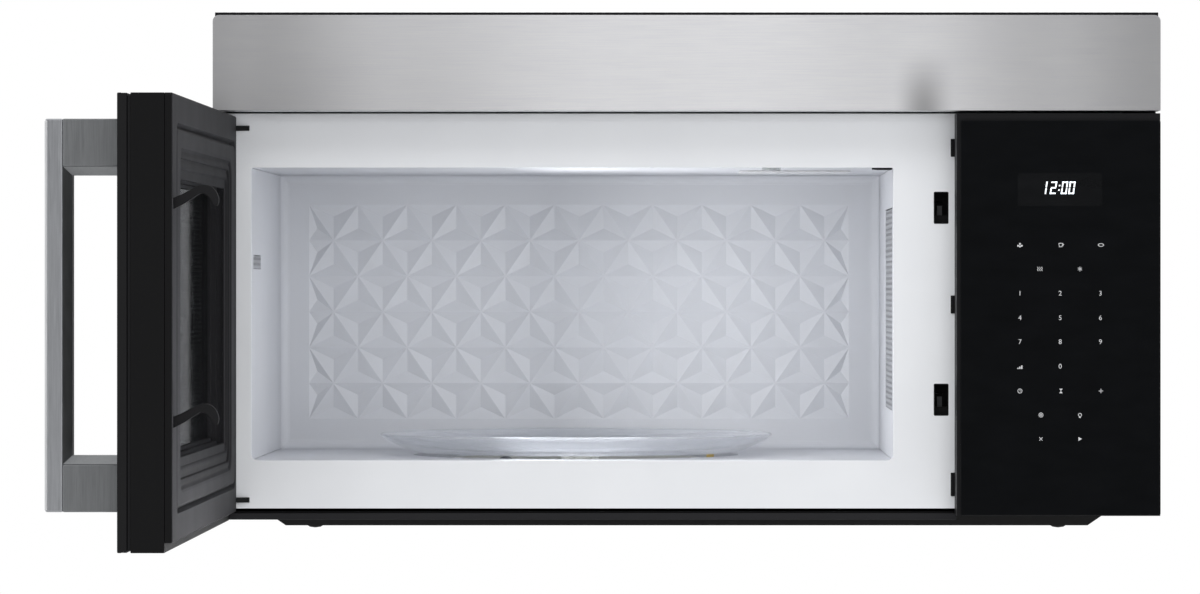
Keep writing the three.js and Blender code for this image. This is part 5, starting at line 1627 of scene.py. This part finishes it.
@dataclass
class Underside:
    """What shows from below: the rail, the two grease filters and the cooktop lamp's cover."""

    mesh_pitch: float = 5.6
    filter_rim: float = 11.0
    mesh_hole: float = 1.75
    rail_shadow_gap: float = 3.4
    rail_face: float = 2.6
    rail_sheet: float = 1.6
    lens_ribs: int = 22
    screw_x: float = 360.0
    flange_h: float = 0.6

    def build(self) -> None:
        """Makes the filters, the lamp cover, the rail and the screws."""
        for side in ("left", "right"):
            self.filter(side)
        self.lamp_cover()
        self.rail()
        self.screws()

    def rail(self) -> None:
        """The moulded strip under the white front: a near-black block along its top, painted shade in the
        shadowed gap, and its face below that.
        """
        box = Span.of("lower_front_rail")
        face_top = box.z[1] - self.rail_shadow_gap
        face = box.y[0], box.y[0] + self.rail_face
        piece = Piece("lower_front_rail_moulded")
        piece.add(block(box.x, face, (box.z[0], face_top), 0.6, 2), RAIL_ABS)
        under = box.z[0], box.z[0] + self.rail_sheet
        piece.add(block(box.x, (face[1] - 0.5, box.y[1]), under, 0.4, 2), RAIL_ABS)
        back = box.y[1] - self.rail_sheet, box.y[1]
        across = box.x[0] + 0.5, box.x[1] - 0.5
        piece.add(block(across, back, (box.z[0] + 1.0, box.z[1]), 0.0), SHADOW_GAP_BLACK)
        piece.done("cabinet", "lower_front_rail")

    def filter(self, side: str) -> None:
        """A framed grease filter of expanded aluminium, with a pull ring at its front edge."""
        node = f"grease_filter_{side}"
        box = Span.of(node)
        rim = self.filter_rim
        low, high = box.z
        piece = Piece(node + "_framed")
        hole = inset(box.x, box.y, rim, 3.0)
        piece.add(plate(rounded(*box.x, *box.y, 4.0), Axis.Z, low, high, [hole], 0.9, 2), ALUMINIUM)
        room = [(span[0] + rim - 3, span[1] - rim + 3) for span in (box.x, box.y)]
        for level in (low + 1.2, (low + high) / 2, high - 1.8):
            foil = pierced_sheet(*room, Axis.Z, level, level + 0.5, self.mesh_pitch, self.mesh_hole)
            piece.add(foil, FILTER_FOIL)
        middle = sum(box.x) / 2
        tab = rounded(middle - 15.0, middle + 15.0, box.y[0] + 1.5, box.y[0] + 17.0, 5.0)
        finger = rounded(middle - 9.0, middle + 9.0, box.y[0] + 5.0, box.y[0] + 13.0, 3.9)
        piece.add(plate(tab, Axis.Z, low, low + 1.0, [finger], 0.3, 2), ALUMINIUM)
        piece.done(f"filter_{side}", node)

    def lamp_cover(self) -> None:
        """The lamp's lens: a shallow pane with light-spreading ribs, hinged at one edge."""
        box = Span.of("cooktop_lamp_cover")
        high = box.z[1]
        piece = Piece("cooktop_lamp_lens")
        piece.add(plate(rounded(*box.x, *box.y, 3.0), Axis.Z, high - 1.6, high, [], 0.5, 2), LAMP_GLASS)
        add_ribs(piece, self.lens_ribs, box.x, 6.0, 0.62, (box.y[0] + 5.0, box.y[1] - 5.0),
                 (high - 2.0, high - 1.5), 0.2, LAMP_GLASS)
        piece.done("lamp_cover", "cooktop_lamp_cover")

    def screws(self) -> None:
        """Screws round the pan's flange."""
        box = Span.of("base_pan")
        front, back = box.y[0] + 26.0, box.y[1] - 7.0
        piece = Piece("underside_screws")
        side = self.screw_x
        for x, y in ((-side, front), (-side, back), (0.0, back), (side, front), (side, back)):
            add_screw(piece, (x, y, up(self.flange_h)), (0, 0, -1), 3.0)
        piece.done("cabinet")


# ---- CAD nodes that show as they are ----


# Each finish with the nodes that it dresses and the radius of their edges.
DRESSED: tuple[tuple[Finish, dict[str, float]], ...] = (
    (BLACK_ABS, {
        "cord_gland": 0.5, "magnetron_fan_housing": 0.6, "magnetron_fan_wheel": 0.3,
        "blower_wheel_left": 0.2, "blower_wheel_right": 0.2, "interlock_bracket": 0.4,
        "door_switch_upper": 0.6, "door_switch_lower": 0.6, "control_bezel": 0.5,
        "grille_louver_frame": 0.4}),
    (ZINC, {
        "bay_floor_plate": 0.4, "waveguide": 0.6, "magnetron_fan_motor": 0.6, "blower_motor": 0.8,
        "blower_housing_left": 0.4, "blower_housing_right": 0.4, "turntable_motor": 0.6}),
    (CAVITY_ENAMEL, {"cavity_ceiling": 0.3, "cavity_floor": 0.6}),
    (MICA, {"waveguide_cover": 0.2}),
    (ALUMINIUM, {"magnetron": 0.5, "hv_capacitor": 1.0}),
    (COIL, {"hv_transformer": 1.0}),
    (DISPLAY_FILTER, {"display_module": 0.4}),
    (SOLDER_MASK, {"control_board": 0.3}),
    (CHARCOAL, {"charcoal_filter": 1.0}),
    (SPRING_STEEL, {"blower_shaft": 0.4, "latch_spring": 0.0}),
    (NYLON, {"cooktop_lamp": 0.6, "turntable_coupler": 0.6, "roller_ring": 0.5}),
    (POWDER_COAT, {"hinge_upper": 0.4, "hinge_lower": 0.4}),
    (DARK_NYLON, {"interlock_lever_upper": 0.3, "interlock_lever_lower": 0.3}),
    (PAN_SHADE_BLACK, {"base_pan": 0.5}),
)


# ---- The studio ----


@dataclass
class Studio:
    """The camera, the lamps, the white surroundings and the floor."""

    lens_mm: float = 178.0
    sensor_mm: float = 36.0
    clip_m: Point = (0.05, 200.0)
    camera_distance: float = 5155.0
    camera_height: float = -19.05
    shift: Point = (-0.0722, -0.0075)
    floor_drop: float = 350.0
    floor_half: float = 3000.0
    floor_fade: Point = (1300.0, 2900.0)
    floor_colour: str = "f7f7f7"
    floor_roughness: float = 0.9
    ambient: float = 0.58
    dark_patch: Point = (8.5, 18.0)
    patch_level: float = 0.06
    cavity_lamps: tuple[tuple[str, Triple, Triple, float], ...] = (
        ("cavity lamp middle", (40.0, -335.0, 5.0), (0.0, 1.0, 0.2), 0.07),
        ("cavity lamp left", (-60.0, -300.0, -30.0), (1.6, -0.22, -0.05), 1.0),
        ("cavity lamp right", (60.0, -300.0, -30.0), (-1.6, -0.15, -0.05), 0.4),
    )
    cavity_lamp_width: float = 130.0
    cavity_lamp_room: float = 140.0
    bounce_place: Triple = (150.0, -700.0, -620.0)
    bounce_aim: Triple = (-1.0, -0.2, 0.55)
    bounce_size: Point = (420.0, 260.0)
    bounce_power: float = 5.4
    bounce_spread: float = 55.0
    aimed_at: Triple = (0.0, -380.0, 0.0)
    lamps: tuple[tuple[str, Triple, Point, float], ...] = (
        ("overhead softbox", (-500.0, -2600.0, 2300.0), (2200.0, 1400.0), 30.0),
        ("front fill", (300.0, -4300.0, 200.0), (2600.0, 1800.0), 44.5),
        ("low fill", (1100.0, -2000.0, -1300.0), (1600.0, 900.0), 26.0),
    )

    def build(self) -> None:
        """Makes all of it."""
        self.camera()
        for name, place, size, power in self.lamps:
            spot = Vector(place) * MM
            self.lamp(name, spot, Vector(self.aimed_at) * MM - spot, size, power)
        self.cavity_light()
        self.bounce_light()
        self.surroundings()
        self.floor()

    def camera(self) -> None:
        """A long lens square to the front, shifted to where the photograph's centre lies."""
        lens = bpy.data.cameras.new("camera")
        lens.lens = self.lens_mm
        lens.sensor_width = self.sensor_mm
        lens.shift_x, lens.shift_y = self.shift
        lens.clip_start, lens.clip_end = self.clip_m
        made = new_object("camera", lens)
        made.location = Vector((0.0, -self.camera_distance, self.camera_height)) * MM
        made.rotation_euler = (math.pi / 2, 0.0, 0.0)
        bpy.context.scene.camera = made
        bpy.context.scene.view_settings.view_transform = "Standard"

    def lamp(self, name: str, place: Vector, aim: Vector, size: Point, power: float) -> bpy.types.Object:
        """A soft rectangular lamp that neither the camera nor a reflection sees.

        Args:
            name: the lamp's name.
            place: where it stands, in metres.
            aim: the way it faces.
            size: its width and height, in millimetres.
            power: its power in watts.

        Returns:
            The lamp.
        """
        light = bpy.data.lights.new(name, "AREA")
        light.shape = "RECTANGLE"
        light.size, light.size_y = size[0] * MM, size[1] * MM
        light.energy = power
        made = new_object(name, light)
        made.location = place
        made.rotation_euler = aim.to_track_quat("-Z", "Y").to_euler()
        made.visible_camera = False
        made.visible_glossy = False
        return made

    def cavity_light(self) -> None:
        """The oven's own light: soft glows just inside the mouth, placed from the cavity's middle."""
        (left, right), (low, high) = cavity_room()
        size = self.cavity_lamp_width, high - low - self.cavity_lamp_room
        for name, (x, y, z), aim, power in self.cavity_lamps:
            place = Vector(((left + right) / 2 + x, y, (low + high) / 2 + z)) * MM
            self.lamp(name, place, Vector(aim), size, power).visible_transmission = False

    def bounce_light(self) -> None:
        """Light thrown back up from the pale floor on the inner face of the open door."""
        place, aim = Vector(self.bounce_place) * MM, Vector(self.bounce_aim)
        made = self.lamp("floor bounce", place, aim, self.bounce_size, self.bounce_power)
        made.data.spread = math.radians(self.bounce_spread)

    def surroundings(self) -> None:
        """White to the eye and to reflections, softer as light on the object.

        Reflections find a dark patch straight in front of the oven, where a photographer stands.
        """
        world = bpy.data.worlds.new("surroundings")
        world.use_nodes = True
        bpy.context.scene.world = world
        tree = world.node_tree
        tree.nodes.clear()
        path = add_node(tree, "LightPath")
        seen = maths(tree, "ADD", path.outputs["Is Camera Ray"], path.outputs["Is Glossy Ray"])
        seen = maths(tree, "ADD", seen, path.outputs["Is Transmission Ray"])
        strength = add_node(tree, "MapRange", {3: self.ambient, 4: 1.0}, {0: seen}).outputs[0]
        where = add_node(tree, "NewGeometry").outputs["Incoming"]
        forward = add_node(tree, "SeparateXYZ", {}, {0: where}).outputs["Y"]
        inner, outer = (math.cos(math.radians(angle)) for angle in self.dark_patch)
        patch = add_node(tree, "MapRange", {1: outer, 2: inner, 3: 1.0, 4: self.patch_level}, {0: forward})
        glossy = add_node(tree, "Mix", {2: 1.0}, {0: path.outputs["Is Glossy Ray"], 3: patch.outputs[0]})
        strength = maths(tree, "MULTIPLY", strength, glossy.outputs[0])
        light = add_node(tree, "Background", {"Color": linear("ffffff")}, {"Strength": strength})
        add_node(tree, "OutputWorld", {}, {"Surface": light.outputs[0]})

    def floor(self) -> None:
        """A pale floor under the hung oven, which a camera below it looks through."""
        level = CAD_BOUNDS[0][2] - self.floor_drop * MM
        half = self.floor_half * MM
        mesh = bpy.data.meshes.new("floor")
        mesh.from_pydata([(x, y, level) for x, y in rounded(-half, half, -half, half)], [], [(0, 1, 2, 3)])
        made = new_object("floor", mesh)
        paint = bpy.data.materials.new("pale floor")
        paint.use_nodes = True
        tree = paint.node_tree
        shader = tree.nodes["Principled BSDF"]
        shader.inputs["Base Color"].default_value = linear(self.floor_colour)
        shader.inputs["Roughness"].default_value = self.floor_roughness
        output = tree.nodes["Material Output"]
        surface = add_node(tree, "NewGeometry").outputs
        away = add_node(tree, "VectorMath", {"operation": "LENGTH"}, {0: surface["Position"]})
        near, far = self.floor_fade
        faded = add_node(tree, "MapRange", {1: near * MM, 2: far * MM}, {0: away.outputs["Value"]}).outputs[0]
        gone = maths(tree, "MAXIMUM", surface["Backfacing"], faded)
        clear = add_node(tree, "BsdfTransparent").outputs[0]
        mix = add_node(tree, "MixShader", {}, {0: gone, 1: shader.outputs[0], 2: clear})
        tree.links.new(mix.outputs[0], output.inputs["Surface"])
        mesh.materials.append(paint)


# ---- The whole oven ----


def main() -> None:
    """Builds the pieces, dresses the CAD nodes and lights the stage."""
    logging.basicConfig(level=logging.INFO, format="%(name)s: %(message)s")
    for part in (Casing, FrontFrame, Cavity, Door, Grille, ControlPanel, Turntable, Underside):
        part().build()
    for finish, nodes in DRESSED:
        for node, edge in nodes.items():
            dress(node, finish, edge)
    Studio().build()


if __name__ == "__main__":
    main()
